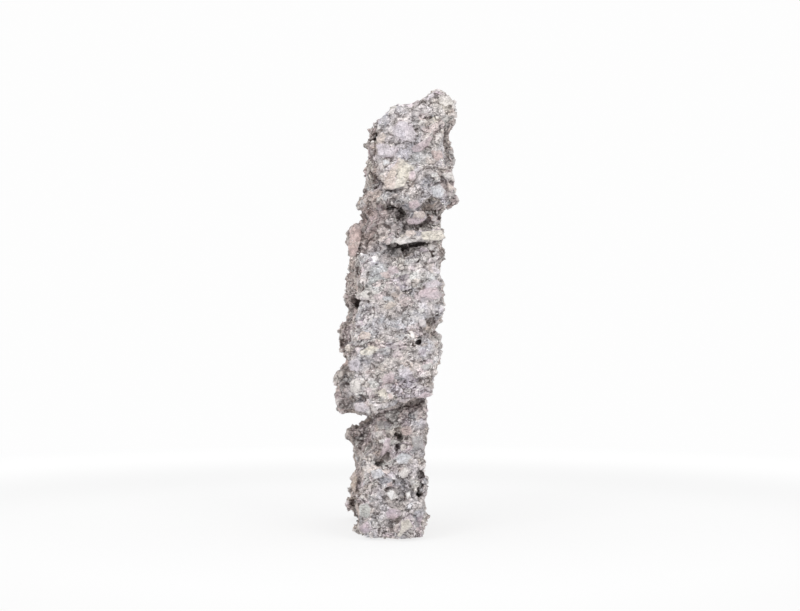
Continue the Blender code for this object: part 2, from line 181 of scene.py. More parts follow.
# Clasts that the picture shows: their corners on the stone in the picture's pixels. proud is how far
# one stands out of the stone around it.
Clast = namedtuple("Clast", "name tint proud corners")
CLASTS = [
    Clast("peak_cap", "mauve", 0.8, ((433, 91), (437, 87), (446, 86), (449, 90), (446, 94), (438, 94))),
    Clast("peak_shoulder", "lavender", 0.4, ((422, 98), (426, 93), (433, 93), (435, 97), (427, 101))),
    Clast("peak_pale", "pale", 0.4, ((438, 97), (449, 95), (453, 103), (446, 107), (439, 103))),
    Clast("head_white", "lavender", 0.8, ((392, 128), (400, 121), (408, 121), (412, 128), (418, 134),
                                         (412, 140), (402, 140), (393, 136))),
    Clast("head_white_band", "pink", 0.9, ((398, 127), (408, 126), (410, 130), (400, 131))),
    Clast("head_rose", "peach", 0.4, ((376, 138), (382, 133), (386, 136), (384, 142), (378, 143))),
    Clast("head_left_pale", "lavender", 0.5, ((376, 145), (385, 144), (396, 148), (394, 156), (384, 158), (377, 155))),
    Clast("head_streak", "pink", 0.6, ((412, 148), (420, 142), (430, 136), (434, 138), (429, 146), (420, 152), (412, 152))),
    Clast("head_low_blue", "blue", 0.3, ((382, 160), (389, 158), (390, 164), (384, 166))),
    Clast("head_right_rose", "rose", 0.2, ((432, 152), (440, 150), (444, 158), (436, 161))),
    Clast("facet_pink", "pink", 5.0, ((408, 172), (414, 170), (417, 176), (415, 181), (409, 180))),
    Clast("jaw_chip", "white", 9.0, ((430, 173), (438, 172.5), (440, 176), (432, 177.4))),
    Clast("jaw_corner", "pale", 6.0, ((443, 173), (452, 172), (456, 177), (455, 181), (445, 179))),
    Clast("jaw_cream", "peach", 6.0, ((447, 181), (456, 179), (456, 189), (449, 191))),
    Clast("jaw_blue", "blue", 5.6, ((431, 186), (440, 184), (446, 190), (442, 198), (433, 197))),
    Clast("jaw_mauve", "pink", 1.0, ((409, 202), (417, 200), (421, 205), (414, 210), (409, 208))),
    Clast("neck_peach", "peach", 7.0, ((414, 211), (424, 211), (426, 216), (420, 219), (413, 217))),
    Clast("neck_rose", "pink", 5.0, ((406, 219), (418, 218), (426, 219), (420, 224), (408, 225))),
    Clast("neck_slate", "slate", 8.0, ((431, 215), (437, 216), (436, 222), (431, 221))),
    Clast("slab_peach", "peach", 4.5, ((405, 231), (413, 229), (417, 233), (412, 237), (406, 237))),
    Clast("slab_lip", "peach", 2.0, ((376, 240), (386, 235), (390, 236), (381, 241.5))),
    Clast("oval_rose", "rose", 4.0, ((351, 228), (356, 223), (361, 226), (361.5, 238), (358, 249), (355, 257),
                                     (350, 257), (348, 247), (349, 236))),
    Clast("chest_white", "white", 1.5, ((371, 257), (377, 254), (381, 259), (375, 263))),
    Clast("chest_mauve", "pink", 0.3, ((388, 268), (397, 266), (399, 273), (390, 275))),
    Clast("chest_rose", "rose", 0.4, ((380, 273), (388, 271), (390, 277), (381, 278))),
    Clast("chest_pink", "pink", 1.2, ((417, 291), (426, 288), (438, 286), (445, 286), (441, 299), (430, 299), (421, 297))),
    Clast("chest_pink_top", "lavender", 1.2, ((424, 284), (434, 279), (444, 279), (445, 284), (434, 288), (425, 288))),
    Clast("chest_blush", "peach", 1.2, ((383, 306), (391, 301), (397, 304), (391, 309), (384, 309))),
    Clast("chest_blue", "blue", 0.4, ((382, 297), (392, 296), (394, 300), (384, 301))),
    Clast("chest_glint", "white", 1.2, ((419, 309), (424, 308), (425, 312), (420, 312))),
    Clast("chest_left_pale", "pale", 0.8, ((353, 294), (364, 291), (370, 297), (358, 299))),
    Clast("crystal_left", "white", 1.4, ((404, 335), (409, 333.4), (410, 339.6))),
    Clast("crystal_right", "white", 1.4, ((411, 331), (413.4, 333), (414.6, 340), (411.6, 338.6))),
    Clast("belly_peach", "peach", 0.6, ((361, 332), (370, 331), (369, 338), (361, 338))),
    Clast("belly_cream", "cream", 1.2, ((359, 352), (371, 346), (379, 348), (374, 354), (362, 356))),
    Clast("belly_lavender", "lavender", 0.8, ((347, 362), (356, 358), (361, 363), (358, 371), (350, 371))),
    Clast("belly_white", "white", 1.6, ((360, 379), (364, 378), (365, 383), (361, 383.4))),
    Clast("belly_pale", "pale", 1.8, ((350, 382), (357, 379), (361, 385), (358, 392), (351, 392))),
    Clast("belly_rose", "pink", 0.6, ((381, 378), (391, 371), (396, 376), (390, 384), (383, 384))),
    Clast("belly_right_pale", "lavender", 0.5, ((398, 370), (408, 366), (413, 373), (406, 379), (399, 377))),
    Clast("belly_right_grey", "slate", 0.3, ((421, 366), (428, 364), (431, 368), (424, 370))),
    Clast("belly_cream_chip", "cream", 2.0, ((376, 392), (384, 388), (388, 394), (386, 400), (378, 397))),
    Clast("belly_salmon", "rose", 2.2, ((387, 394), (393, 392), (393, 399), (388, 400))),
    Clast("belly_pink_streak", "pink", 1.6, ((416, 398), (425, 392), (434, 388), (434, 394), (425, 398))),
    Clast("belly_low_lobe", "lavender", 1.0, ((354, 404), (363, 402), (370, 407), (364, 412), (355, 411))),
    Clast("boss_rose", "rose", 1.0, ((337, 405), (344, 403), (346, 410), (339, 412))),
    Clast("waist_slate", "slate", 0.6, ((377, 421), (388, 421), (389, 429), (378, 429))),
    Clast("waist_pale", "pale", 1.0, ((375, 431), (382, 430), (383, 436), (376, 437))),
    Clast("waist_white", "white", 1.5, ((379, 440), (385, 439), (384, 443), (380, 443))),
    Clast("waist_mauve", "pink", 1.2, ((386, 436), (391, 439), (389, 450), (382, 458), (380, 454), (383, 445))),
    Clast("waist_rose", "rose", 0.3, ((400, 428), (410, 426), (413, 434), (404, 437))),
    Clast("waist_green", "slate", 0.4, ((412, 437), (423, 436), (428, 442), (424, 450), (413, 449))),
    Clast("waist_blue", "blue", 2.5, ((395, 458), (401, 453), (409, 454), (412, 458), (406, 464), (398, 464))),
    Clast("foot_lump", "pale", 1.6, ((399, 473), (405, 467), (410, 470), (408, 477), (402, 480))),
    Clast("foot_blue", "blue", 0.3, ((371, 471), (381, 468), (385, 475), (375, 479))),
    Clast("foot_rose_chip", "rose", 0.8, ((386, 483), (392, 481), (393, 487), (387, 487))),
    Clast("heel_tan", "tan", 0.6, ((349, 497), (350, 485), (355, 475), (358, 479), (355, 494))),
    Clast("foot_mauve", "mauve", 0.4, ((385, 512), (390, 508), (399, 509), (400, 517), (392, 521), (386, 518))),
    Clast("foot_green", "green", 0.6, ((359, 505), (368, 503), (371, 510), (367, 518), (360, 516))),
    Clast("foot_left_edge", "peach", 1.4, ((355.4, 504), (358, 502), (361, 514), (358.6, 517), (355.8, 510))),
    Clast("foot_lavender", "mauve", 0.4, ((358, 527), (367, 522), (372, 529), (364, 534))),
    Clast("foot_right_pink", "mauve", 0.2, ((418, 520), (424, 514), (427, 524), (420, 529))),
    Clast("foot_white", "white", 1.2, ((405, 493), (410, 491), (411, 497), (406, 499))),
]

# Clasts that stand out of the stone with flat faces: corners in the picture's pixels, each with how far
# it stands in front of the front plane in millimetres, and how deep the clast goes
Facet = namedtuple("Facet", "name corners deep tint")
FACETS = [
    Facet("spur_left", ((399, 158, 5), (397, 168, 9), (390, 171, 5), (382, 189, 4), (394, 190, 11)), 14, "peach"),
    Facet("spur_right", ((399, 158, 5), (397, 170, 10), (394, 189, 12), (405, 186, 12), (413, 167, 6)), 14, "cream"),
    Facet("slab_end", ((421, 231, 5), (422, 240, 8), (438, 241, 8), (446, 238, 4), (441, 230, 3)), 16, "cream"),
    Facet("slab_front", ((392, 240, 5), (400, 245, 9), (420, 241, 9), (421, 236, 4), (402, 237, 3)), 16, "pale"),
    Facet("foot_corner", ((386, 493, 9), (390, 489, 8), (394, 491, 8), (399, 497, 8), (391, 501, 11)), 10, "white"),
    Facet("foot_low", ((401, 521, 11), (408, 519, 11), (412, 526, 12), (406, 531, 11), (401, 530, 12)), 12, "cream"),
    Facet("foot_low_tail", ((401, 529, 11), (405, 531, 12), (400, 538, 10), (397, 536, 9)), 12, "cream"),
]

# Creases that the picture shows, by how wide and deep they are: lines through the picture's pixels.
# Each row is (half width in pixels, depth in millimetres, lines).
# Each crease is pressed into the skin and also painted dark along its line: painted shade.
CREASES = [
    (1.4, 2.2, [
        [(430, 99), (434, 97), (438, 97)], [(416, 111), (419, 114), (421, 117)], [(429, 117), (431, 115)],
        [(437, 131), (435, 135), (434, 139), (431, 143), (433, 145)], [(425, 149), (428, 147), (431, 149)],
        [(371, 157), (372, 161), (371, 165)], [(378, 169), (381, 171), (385, 172)], [(371, 189), (376, 187), (379, 184)],
        [(430, 178), (434, 180), (440, 179)], [(439, 174), (442, 177)], [(385, 200), (388, 202)],
        [(390, 200), (394, 199), (397, 202)], [(403, 202), (405, 204), (408, 204)], [(404, 193), (406, 197)],
        [(391, 208), (396, 209), (400, 212), (404, 214), (402, 217), (397, 219)],
        [(433, 211), (438, 210), (443, 208), (446, 211)], [(438, 213), (438, 218)],
        [(412, 229), (418, 228), (421, 226), (426, 223), (432, 226), (440, 224)], [(395, 236), (399, 237)],
        [(382, 225), (386, 227), (389, 230)], [(383, 244), (389, 247), (396, 248), (405, 249)],
        [(405, 249), (412, 246), (420, 244), (430, 243)], [(369, 254), (370, 255)], [(403, 265), (408, 266)],
        [(360, 250), (359, 255), (355, 260)], [(382, 284), (388, 281), (392, 281)], [(405, 289), (405, 292), (407, 293)],
        [(362, 303), (364, 300), (368, 302)], [(419, 301), (421, 302)], [(414, 346), (418, 343), (421, 338)],
        [(436, 312), (437, 318)], [(434, 322), (430, 329)], [(427, 321), (429, 326)], [(343, 335), (343, 345), (344, 352)],
        [(344, 378), (349, 376), (348, 382), (343, 384)], [(340, 371), (343, 368), (345, 365), (348, 362)],
        [(406, 362), (409, 363)], [(404, 382), (406, 381)], [(353, 398), (357, 400), (362, 400)],
        [(396, 398), (400, 396), (403, 399)], [(405, 406), (411, 407), (416, 405), (422, 401), (425, 400)],
        [(373, 417), (378, 414), (388, 412), (393, 410), (398, 409), (404, 407)], [(372, 420), (376, 417), (384, 416)],
        [(386, 418), (391, 422), (394, 425)], [(366, 425), (364, 430), (363, 436)], [(358, 440), (363, 441), (358, 447)],
        [(395, 429), (400, 428)], [(396, 434), (398, 438), (401, 436)], [(396, 444), (398, 448), (396, 453)],
        [(378, 463), (381, 462)], [(421, 472), (423, 476), (420, 480), (419, 487), (419, 493), (420, 501)],
        [(402, 503), (404, 506)], [(379, 521), (381, 527), (379, 533), (378, 537)], [(376, 519), (378, 523)],
        [(369, 539), (374, 540)], [(386, 539), (390, 540)], [(354, 497), (354, 506), (355, 514), (357, 520)]]),
    (1.0, 1.3, [
        [(424, 117), (427, 119), (431, 118)], [(409, 122), (409, 125), (411, 127)], [(417, 131), (419, 133)],
        [(417, 136), (421, 138)], [(403, 142), (407, 141), (412, 142), (415, 145)], [(396, 145), (400, 143)],
        [(402, 149), (406, 148)], [(387, 132), (390, 134), (393, 136), (391, 139)], [(379, 125), (384, 126), (389, 125)],
        [(394, 112), (397, 114), (401, 116), (406, 117)], [(441, 128), (445, 127), (447, 123), (450, 125)],
        [(374, 131), (375, 138), (374, 144), (375, 150), (374, 156)], [(371, 172), (373, 178)], [(437, 103), (439, 104)],
        [(423, 103), (427, 105)], [(403, 176), (407, 178)], [(408, 182), (409, 187)], [(446, 178), (450, 181)],
        [(449, 192), (453, 192)], [(393, 197), (397, 196), (400, 193)], [(384, 191), (392, 191), (400, 190), (408, 188)],
        [(408, 188), (413, 184), (417, 178), (418, 172), (422, 169), (430, 168), (437, 168), (443, 170)],
        [(410, 212), (415, 211)], [(421, 210), (425, 210)], [(423, 191), (422, 195)], [(425, 197), (426, 198)],
        [(429, 201), (431, 204)], [(411, 238), (415, 238)], [(397, 231), (399, 234)], [(375, 266), (379, 267)],
        [(384, 263), (388, 263), (390, 265)], [(414, 270), (417, 273)], [(420, 267), (425, 267)],
        [(433, 249), (438, 247), (442, 249)], [(420, 262), (427, 262)], [(430, 243), (437, 242), (445, 240)],
        [(382, 280), (388, 279), (396, 279)], [(402, 280), (404, 279)], [(374, 308), (375, 313), (373, 319)],
        [(377, 321), (378, 325), (379, 330), (377, 334), (375, 339)], [(394, 312), (398, 311), (400, 314)],
        [(394, 318), (397, 320), (399, 318)], [(409, 314), (410, 317)], [(407, 320), (408, 325), (406, 329)],
        [(353, 330), (356, 329), (359, 328)], [(372, 323), (376, 322)], [(361, 325), (361, 330)], [(382, 330), (385, 329)],
        [(404, 333), (408, 332), (410, 334)], [(381, 343), (384, 345), (391, 345)], [(398, 346), (404, 345), (411, 344)],
        [(350, 333), (351, 344), (350, 353)], [(351, 303), (347, 309)], [(361, 340), (366, 339), (376, 339)],
        [(360, 358), (364, 357), (368, 358)], [(374, 352), (380, 352), (386, 351)], [(410, 361), (416, 361)],
        [(421, 362), (427, 361)], [(371, 365), (375, 369), (379, 368)], [(383, 364), (386, 368)],
        [(386, 384), (389, 383), (393, 384)], [(403, 389), (409, 390), (414, 388), (420, 385), (427, 383), (431, 382)],
        [(425, 379), (431, 377)], [(361, 392), (366, 391), (367, 396), (362, 398)], [(372, 395), (380, 394)],
        [(374, 399), (380, 397)], [(377, 404), (383, 403), (390, 401), (394, 400)], [(385, 393), (386, 394)],
        [(368, 403), (370, 409), (374, 412)], [(404, 429), (408, 430)], [(404, 438), (408, 440)], [(404, 421), (410, 420)],
        [(420, 417), (424, 420), (429, 420)], [(371, 450), (376, 448), (381, 450)], [(373, 453), (374, 457)],
        [(417, 450), (421, 449), (423, 452)], [(412, 454), (415, 458), (421, 457)],
        [(385, 466), (390, 469), (396, 468), (402, 467)], [(392, 472), (396, 475), (399, 478), (404, 480), (407, 478)],
        [(354, 458), (354, 464), (356, 470)], [(387, 489), (392, 488), (397, 489)], [(395, 481), (395, 486)],
        [(404, 485), (407, 485), (410, 487)], [(365, 493), (366, 498)], [(370, 498), (375, 499), (380, 500)],
        [(380, 496), (384, 497), (387, 500)], [(407, 510), (410, 513)], [(401, 511), (403, 518)], [(370, 505), (372, 508)],
        [(372, 513), (378, 514)], [(390, 524), (392, 528)], [(404, 533), (408, 532), (411, 534)], [(415, 537), (421, 537)],
        [(414, 518), (417, 517)], [(382, 528), (386, 529)], [(378, 245), (370, 238), (366, 244)],
        [(366, 268), (369, 274), (366, 282)], [(358, 266), (356, 276), (353, 284)], [(363, 282), (360, 292)]]),
]


def seen(red, green, blue):
    """The stone's own colour where it looks like this, 0 to 255, in the studio's light."""
    shares = [channel / 255 for channel in (red, green, blue)]
    linear = [s / 12.92 if s <= 0.04045 else ((s + 0.055) / 1.055) ** 2.4 for s in shares]
    return tuple(share * STONE_SHARE for share in linear)


def size_field(name, description, default):
    return FloatProperty(name=name, description=description, default=default, unit="LENGTH")


def colour_field(name, description, default):
    return FloatVectorProperty(name=name, description=description, default=default, subtype="COLOR", min=0, max=1)


class StoneShape(bpy.types.PropertyGroup):
    """Sizes of the stone's fine relief."""
    inset: size_field("Inset", "How far the bare skin lies inside the solid", 2.2 * MM)
    skin: size_field("Skin", "How fine the joined skin is", 1.4 * MM)
    chip_gap: size_field("Chip gap", "The least distance between two chips", 8 * MM)
    chip_small: size_field("Smallest chip", "The radius of the smallest chips", 1.8 * MM)
    chip_large: size_field("Largest chip", "The radius of the largest chips", 6 * MM)
    block_size: size_field("Block size", "How far apart the blocks' middles are", 24 * MM)
    block_relief: size_field("Block relief", "How uneven the blocks' heights are", 4.5 * MM)
    pebble_size: size_field("Pebble size", "How far apart the pebbles' middles are", 11 * MM)
    pebble_relief: size_field("Pebble relief", "How uneven the pebbles' heights are", 1.9 * MM)
    crumb_size: size_field("Crumb size", "How far apart the crumbs' middles are", 5.2 * MM)
    crumb_relief: size_field("Crumb relief", "How uneven the crumbs' heights are", 0.9 * MM)
    grit_size: size_field("Grit size", "How far apart the grit's middles are", 2.4 * MM)
    pit_size: size_field("Pit spacing", "How far apart the pits are", 12 * MM)
    pit_depth: size_field("Pit depth", "How deep the pits are", 3.0 * MM)
    loose_gap: size_field("Grain gap", "The least distance between two grains that stand out", 5 * MM)
    loose_small: size_field("Smallest grain", "The radius of the smallest grains", 0.8 * MM)
    loose_large: size_field("Largest grain", "The radius of the largest grains", 2.0 * MM)
    most_triangles: IntProperty(name="Triangles", description="The most triangles on the stone", default=196000)
    seed: IntProperty(name="Seed", description="Changes every chip's place", default=7)


class StoneColours(bpy.types.PropertyGroup):
    """Colours of the stone's ground and clasts."""
    ground: colour_field("Ground", "The fresh grey ground", seen(204, 197, 197))
    warm: colour_field("Warm ground", "The ground where it is warmer", seen(206, 198, 194))
    cool: colour_field("Cool ground", "The ground where it is cooler", seen(196, 194, 200))
    weathered: colour_field("Weathered", "The ground on the weathered sides", seen(186, 171, 165))
    # This dark colour is painted into cracks, creases and sheltered hollows: mostly painted shade, partly soil.
    dirt_and_shade: colour_field("Dirt", "What lies in the pits", seen(74, 62, 58))
    white: colour_field("White", "The whitest grains", seen(250, 248, 246))
    pale: colour_field("Pale", "Pale clasts", seen(226, 221, 217))
    cream: colour_field("Cream", "Cream clasts", seen(226, 219, 204))
    peach: colour_field("Peach", "Peach clasts", seen(218, 202, 192))
    rose: colour_field("Rose", "Rose clasts", seen(206, 182, 178))
    pink: colour_field("Pink", "Pink clasts", seen(206, 186, 192))
    mauve: colour_field("Mauve", "Mauve clasts", seen(186, 166, 178))
    lavender: colour_field("Lavender", "Lavender clasts", seen(216, 208, 216))
    blue: colour_field("Blue", "Blue-grey clasts", seen(202, 206, 212))
    green: colour_field("Green", "Green-grey clasts", seen(200, 204, 200))
    tan: colour_field("Tan", "Tan clasts", seen(190, 172, 156))
    slate: colour_field("Slate", "Slate-grey clasts", seen(166, 166, 168))


class StoneStudio(bpy.types.PropertyGroup):
    """The plain studio."""
    sky: FloatProperty(name="Sky", description="How bright the white surroundings are", default=0.9)
    key: FloatProperty(name="Key light", description="Power of the light at the front left, in watts", default=20)
    fill: FloatProperty(name="Fill light", description="Power of the light at the front right, in watts", default=14)
    # The floor's own colour is a dark grey; it looks pale by the floor's glow.
    floor: colour_field("Floor", "The pale floor", (0.22, 0.22, 0.22))
    glow: FloatProperty(name="Glow", description="How much light the floor gives off", default=0.73)
    floor_size: size_field("Floor size", "How wide the floor is", 14)


def put(tree, kind, links=None, **settings):
    """Adds a node. settings are its properties, and links give its inputs a socket or a value."""
    made = tree.nodes.new(kind)
    for key, value in settings.items():
        setattr(made, key, value)
    for key, value in (links or {}).items():
        if isinstance(value, bpy.types.NodeSocket):
            tree.links.new(value, made.inputs[key])
        else:
            made.inputs[key].default_value = value
    return made


def sum_of(tree, operation, *values, clamp=False):
    """The result socket of a Math node."""
    made = put(tree, "ShaderNodeMath", dict(enumerate(values)), operation=operation)
    made.use_clamp = clamp
    return made.outputs[0]


def vector_of(tree, operation, *values):
    """The result socket of a Vector Math node, which is a number for a dot product or a length."""
    made = put(tree, "ShaderNodeVectorMath", operation=operation)
    for number, value in enumerate(values):
        socket = made.inputs["Scale"] if operation == "SCALE" and number == 1 else made.inputs[number]
        if isinstance(value, bpy.types.NodeSocket):
            tree.links.new(value, socket)
        else:
            socket.default_value = value
    return made.outputs["Value" if operation in ("DOT_PRODUCT", "LENGTH") else "Vector"]


def step_of(tree, value, low, high, to_low=0.0, to_high=1.0):
    """A smooth step: to_low at low and under, to_high at high and over."""
    links = {"Value": value, "From Min": low, "From Max": high, "To Min": to_low, "To Max": to_high}
    return put(tree, "ShaderNodeMapRange", links, interpolation_type="SMOOTHSTEP").outputs["Result"]


def blend_of(tree, share, first, second, kind="MIX"):
    """The colour between first and second, by share."""
    made = put(tree, "ShaderNodeMix", data_type="RGBA", blend_type=kind, clamp_factor=True)
    for socket, value in ((made.inputs[0], share), (made.inputs[6], first), (made.inputs[7], second)):
        if isinstance(value, bpy.types.NodeSocket):
            tree.links.new(value, socket)
        elif socket.type == "RGBA":
            socket.default_value = (*value[:3], 1)
        else:
            socket.default_value = value
    return made.outputs[2]


def new_group(kind, name, inputs, outputs):
    """A node group with its sockets: each input is (name, kind, default), each output (name, kind)."""
    tree = bpy.data.node_groups.new(name, kind)
    for title, socket, default in inputs:
        made = tree.interface.new_socket(title, in_out="INPUT", socket_type="NodeSocket" + socket)
        if default is not None:
            made.default_value = default
    for title, socket in outputs:
        tree.interface.new_socket(title, in_out="OUTPUT", socket_type="NodeSocket" + socket)
    return tree, put(tree, "NodeGroupInput"), put(tree, "NodeGroupOutput")


def bedding_place(tree, place):
    """The place in the stone's bedding, which rises to the right and is flattened."""
    turned = put(tree, "ShaderNodeVectorRotate", {"Vector": place, "Angle": math.radians(16)}, rotation_type="Y_AXIS")
    dipped = put(tree, "ShaderNodeVectorRotate", {"Vector": turned.outputs[0], "Angle": math.radians(13)},
                 rotation_type="X_AXIS")
    return vector_of(tree, "MULTIPLY", dipped.outputs[0], (1.0, 1.0, 1.4))


def warped_place(tree, place, size, reach):
    """The place, pushed about by noise, so that cells get ragged edges."""
    noise = put(tree, "ShaderNodeTexNoise", {"Vector": place, "Scale": 1 / size, "Detail": 2.0, "Roughness": 0.6})
    centred = vector_of(tree, "SUBTRACT", noise.outputs["Color"], (0.5, 0.5, 0.5))
    return vector_of(tree, "ADD", place, vector_of(tree, "SCALE", centred, reach))


Cell = namedtuple("Cell", "chance second third edge middle slope")


def cells(tree, place, size):
    """Broken cells: three chances from 0 to 1, the distances to the edge and middle, and a slope."""
    links = {"Vector": place, "Randomness": 1.0}
    links["Scale"] = sum_of(tree, "DIVIDE", 1.0, size)
    whole = put(tree, "ShaderNodeTexVoronoi", links, feature="F1")
    chances = put(tree, "ShaderNodeSeparateXYZ", {0: whole.outputs["Color"]})
    edge = put(tree, "ShaderNodeTexVoronoi", links, feature="DISTANCE_TO_EDGE")
    off = vector_of(tree, "SUBTRACT", place, whole.outputs["Position"])
    way = vector_of(tree, "SUBTRACT", whole.outputs["Color"], (0.5, 0.5, 0.5))
    slope = vector_of(tree, "DOT_PRODUCT", off, way)
    return Cell(*chances.outputs, edge.outputs["Distance"], whole.outputs["Distance"], slope)


def zone(tree, place):
    """Where the skin is broken up: 1, down to a part of it where it is calm."""
    wide = put(tree, "ShaderNodeTexNoise", {"Vector": place, "Scale": 34.0, "Detail": 2.0}).outputs["Fac"]
    return step_of(tree, wide, 0.38, 0.62, 0.35, 1.0)


def crevice(tree, place, cell, width, noise_scale, low):
    """A thin line around some of the cells, 1 in its middle. It runs where the noise is above low."""
    noise = put(tree, "ShaderNodeTexNoise", {"Vector": place, "Scale": noise_scale, "Detail": 1.0}).outputs["Fac"]
    over = sum_of(tree, "SUBTRACT", noise, low)
    wide = sum_of(tree, "MULTIPLY", step_of(tree, over, 0.0, 0.12), width)
    line = put(tree, "ShaderNodeMapRange", {
        "Value": cell.edge, "From Min": 0.0, "From Max": sum_of(tree, "ADD", wide, 0.0001),
        "To Min": 1.0, "To Max": 0.0}, interpolation_type="SMOOTHSTEP").outputs["Result"]
    return sum_of(tree, "MULTIPLY", line, step_of(tree, over, 0.0, 0.05))


# Shape


def solid_copy():
    """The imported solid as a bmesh, its loose triangles joined."""
    shape = bmesh.new()
    shape.from_mesh(frame["nodes"][SOLID].data)
    bmesh.ops.remove_doubles(shape, verts=shape.verts, dist=0.01 * MM)
    bmesh.ops.recalc_face_normals(shape, faces=shape.faces)
    return shape


def object_of(shape, name):
    mesh = bpy.data.meshes.new(name)
    shape.to_mesh(mesh)
    shape.free()
    made = bpy.data.objects.new(name, mesh)
    bpy.context.scene.collection.objects.link(made)
    return made


def as_plain_mesh(piece):
    """Makes what the modifiers give the piece's own mesh, and takes the modifiers away."""
    graph = bpy.context.evaluated_depsgraph_get()
    mesh = bpy.data.meshes.new_from_object(piece.evaluated_get(graph))
    old = piece.data
    piece.modifiers.clear()
    piece.data = mesh
    bpy.data.meshes.remove(old)


def camera_place():
    return Vector((CAMERA_SIDE, FRONT_PLANE - CAMERA_DISTANCE, CAMERA_HEIGHT))


def sight_through(pixel):
    """The way of sight through a pixel, which reaches the front plane at its own length."""
    across = (pixel[0] - PICTURE_WIDTH / 2) * PIXEL
    up = (PICTURE_HEIGHT / 2 - pixel[1]) * PIXEL
    return Vector((across, CAMERA_DISTANCE, up))


def half_size(thing):
    return Vector((thing.half[0] * PIXEL, thing.deep * MM, thing.half[1] * PIXEL))


def form_place(form):
    """The form's middle and half sizes."""
    half = half_size(form)
    behind = CAMERA_DISTANCE + form.front * MM + half.y
    return camera_place() + sight_through(form.middle) * (behind / CAMERA_DISTANCE), half


def point_through(pixel, behind):
    """The place seen at a pixel, that far behind the front plane."""
    return camera_place() + sight_through(pixel) * ((CAMERA_DISTANCE + behind) / CAMERA_DISTANCE)


def blocks_of(solid):
    """Each clast as (tint, hull, mark): hull is its shape, and mark also takes in what lies before it."""
    for clast in CLASTS:
        ends = []
        for pixel in clast.corners:
            spot = solid.ray_cast(camera_place(), sight_through(pixel).normalized())[0]
            if spot is not None:
                ends.append((pixel, spot.y - FRONT_PLANE - clast.proud * MM))
        near = min(behind for pixel, behind in ends)
        ends = [(pixel, min(behind, near + CLAST_LEAN)) for pixel, behind in ends]
        yield clast.tint, *hulls_of(ends, CLAST_DEEP)
    for facet in FACETS:
        ends = [((across, down), -out * MM) for across, down, out in facet.corners]
        yield facet.tint, *hulls_of(ends, facet.deep * MM)


def hulls_of(ends, deep):
    """The hull from the corners to their roots in the stone, and one that reaches farther to the front."""
    far = max(behind for pixel, behind in ends) + deep
    roots = [point_through(pixel, far) for pixel, behind in ends]
    fronts = [point_through(pixel, behind) for pixel, behind in ends]
    before = [point_through(pixel, behind - CLAST_REACH) for pixel, behind in ends]
    return hull_of(fronts + roots), hull_of(before + roots)


def hull_of(corners):
    hull = bmesh.new()
    made = bmesh.ops.convex_hull(hull, input=[hull.verts.new(corner) for corner in corners])
    bmesh.ops.delete(hull, geom=made["geom_interior"], context="VERTS")
    bmesh.ops.recalc_face_normals(hull, faces=hull.faces)
    return hull


def ball_at(shape, middle, half, tilt, dice, roughness, detail=2):
    """Adds an uneven ball, stretched to its half sizes and tilted up to the right."""
    ball = bmesh.ops.create_icosphere(shape, subdivisions=detail, radius=1.0)["verts"]
    for point in ball:
        point.co *= 1 + dice.uniform(-roughness, roughness)
    turn = Matrix.Rotation(-math.radians(tilt), 4, "Y")
    placed = Matrix.Translation(middle) @ turn @ Matrix.Diagonal((*half, 1))
    bmesh.ops.transform(shape, matrix=placed, verts=ball)


def joined_with(stone, cutters, operation):
    """Adds the shapes to the stone, or takes them out of it."""
    group = bpy.data.collections.new("cutters")
    bpy.context.scene.collection.children.link(group)
    for cutter in cutters:
        group.objects.link(cutter)
    cut = stone.modifiers.new("cut", "BOOLEAN")
    cut.operation = operation
    cut.operand_type = "COLLECTION"
    cut.collection = group
    cut.solver = "MANIFOLD"
    as_plain_mesh(stone)
    for cutter in cutters:
        bpy.data.objects.remove(cutter)
    bpy.data.collections.remove(group)


def skinned(stone, size):
    """Gives the stone one even skin over all its parts."""
    joined = stone.modifiers.new("skin", "REMESH")
    joined.mode = "VOXEL"
    joined.voxel_size = size
    as_plain_mesh(stone)


def add_forms(stone, dice):
    """Adds the ledges and what fills the gaps."""
    shape = bmesh.new()
    shape.from_mesh(stone.data)
    for form in FORMS:
        ball_at(shape, *form_place(form), form.tilt, dice, 0.16)
    shape.to_mesh(stone.data)
    shape.free()
    skinned(stone, 2.6 * MM)


def cut_pockets(stone, dice):
    """Takes the pockets out of the stone."""
    cutters = []
    for pocket in POCKETS:
        shape = bmesh.new()
        ball_at(shape, *form_place(pocket), pocket.tilt, dice, 0.22)
        cutters.append(object_of(shape, "pocket_" + pocket.name))
    joined_with(stone, cutters, "DIFFERENCE")


def add_clasts(stone, blocks):
    """Adds the clasts to the stone's mesh."""
    shape = bmesh.new()
    shape.from_mesh(stone.data)
    for tint, hull, mark in blocks:
        mesh = bpy.data.meshes.new("clast")
        hull.to_mesh(mesh)
        shape.from_mesh(mesh)
        bpy.data.meshes.remove(mesh)
    shape.to_mesh(stone.data)
    shape.free()


def chip_kinds(name, dice, count, detail, flatness):
    """A few angular chips, which a tree scatters."""
    group = bpy.data.collections.new(name)
    for number in range(count):
        shape = bmesh.new()
        if detail:
            bmesh.ops.create_icosphere(shape, subdivisions=detail, radius=1.0)
        else:
            bmesh.ops.create_cone(shape, cap_ends=True, cap_tris=True, segments=5, radius1=0.9, radius2=0.6, depth=1.4)
        for point in shape.verts:
            point.co *= dice.uniform(0.72, 1.18)
            point.co.z *= flatness
        mesh = bpy.data.meshes.new(f"{name}_{number + 1}")
        shape.to_mesh(mesh)
        shape.free()
        group.objects.link(bpy.data.objects.new(mesh.name, mesh))
    return group


def put_away(group):
    for made in list(group.objects):
        bpy.data.objects.remove(made)
    bpy.data.collections.remove(group)


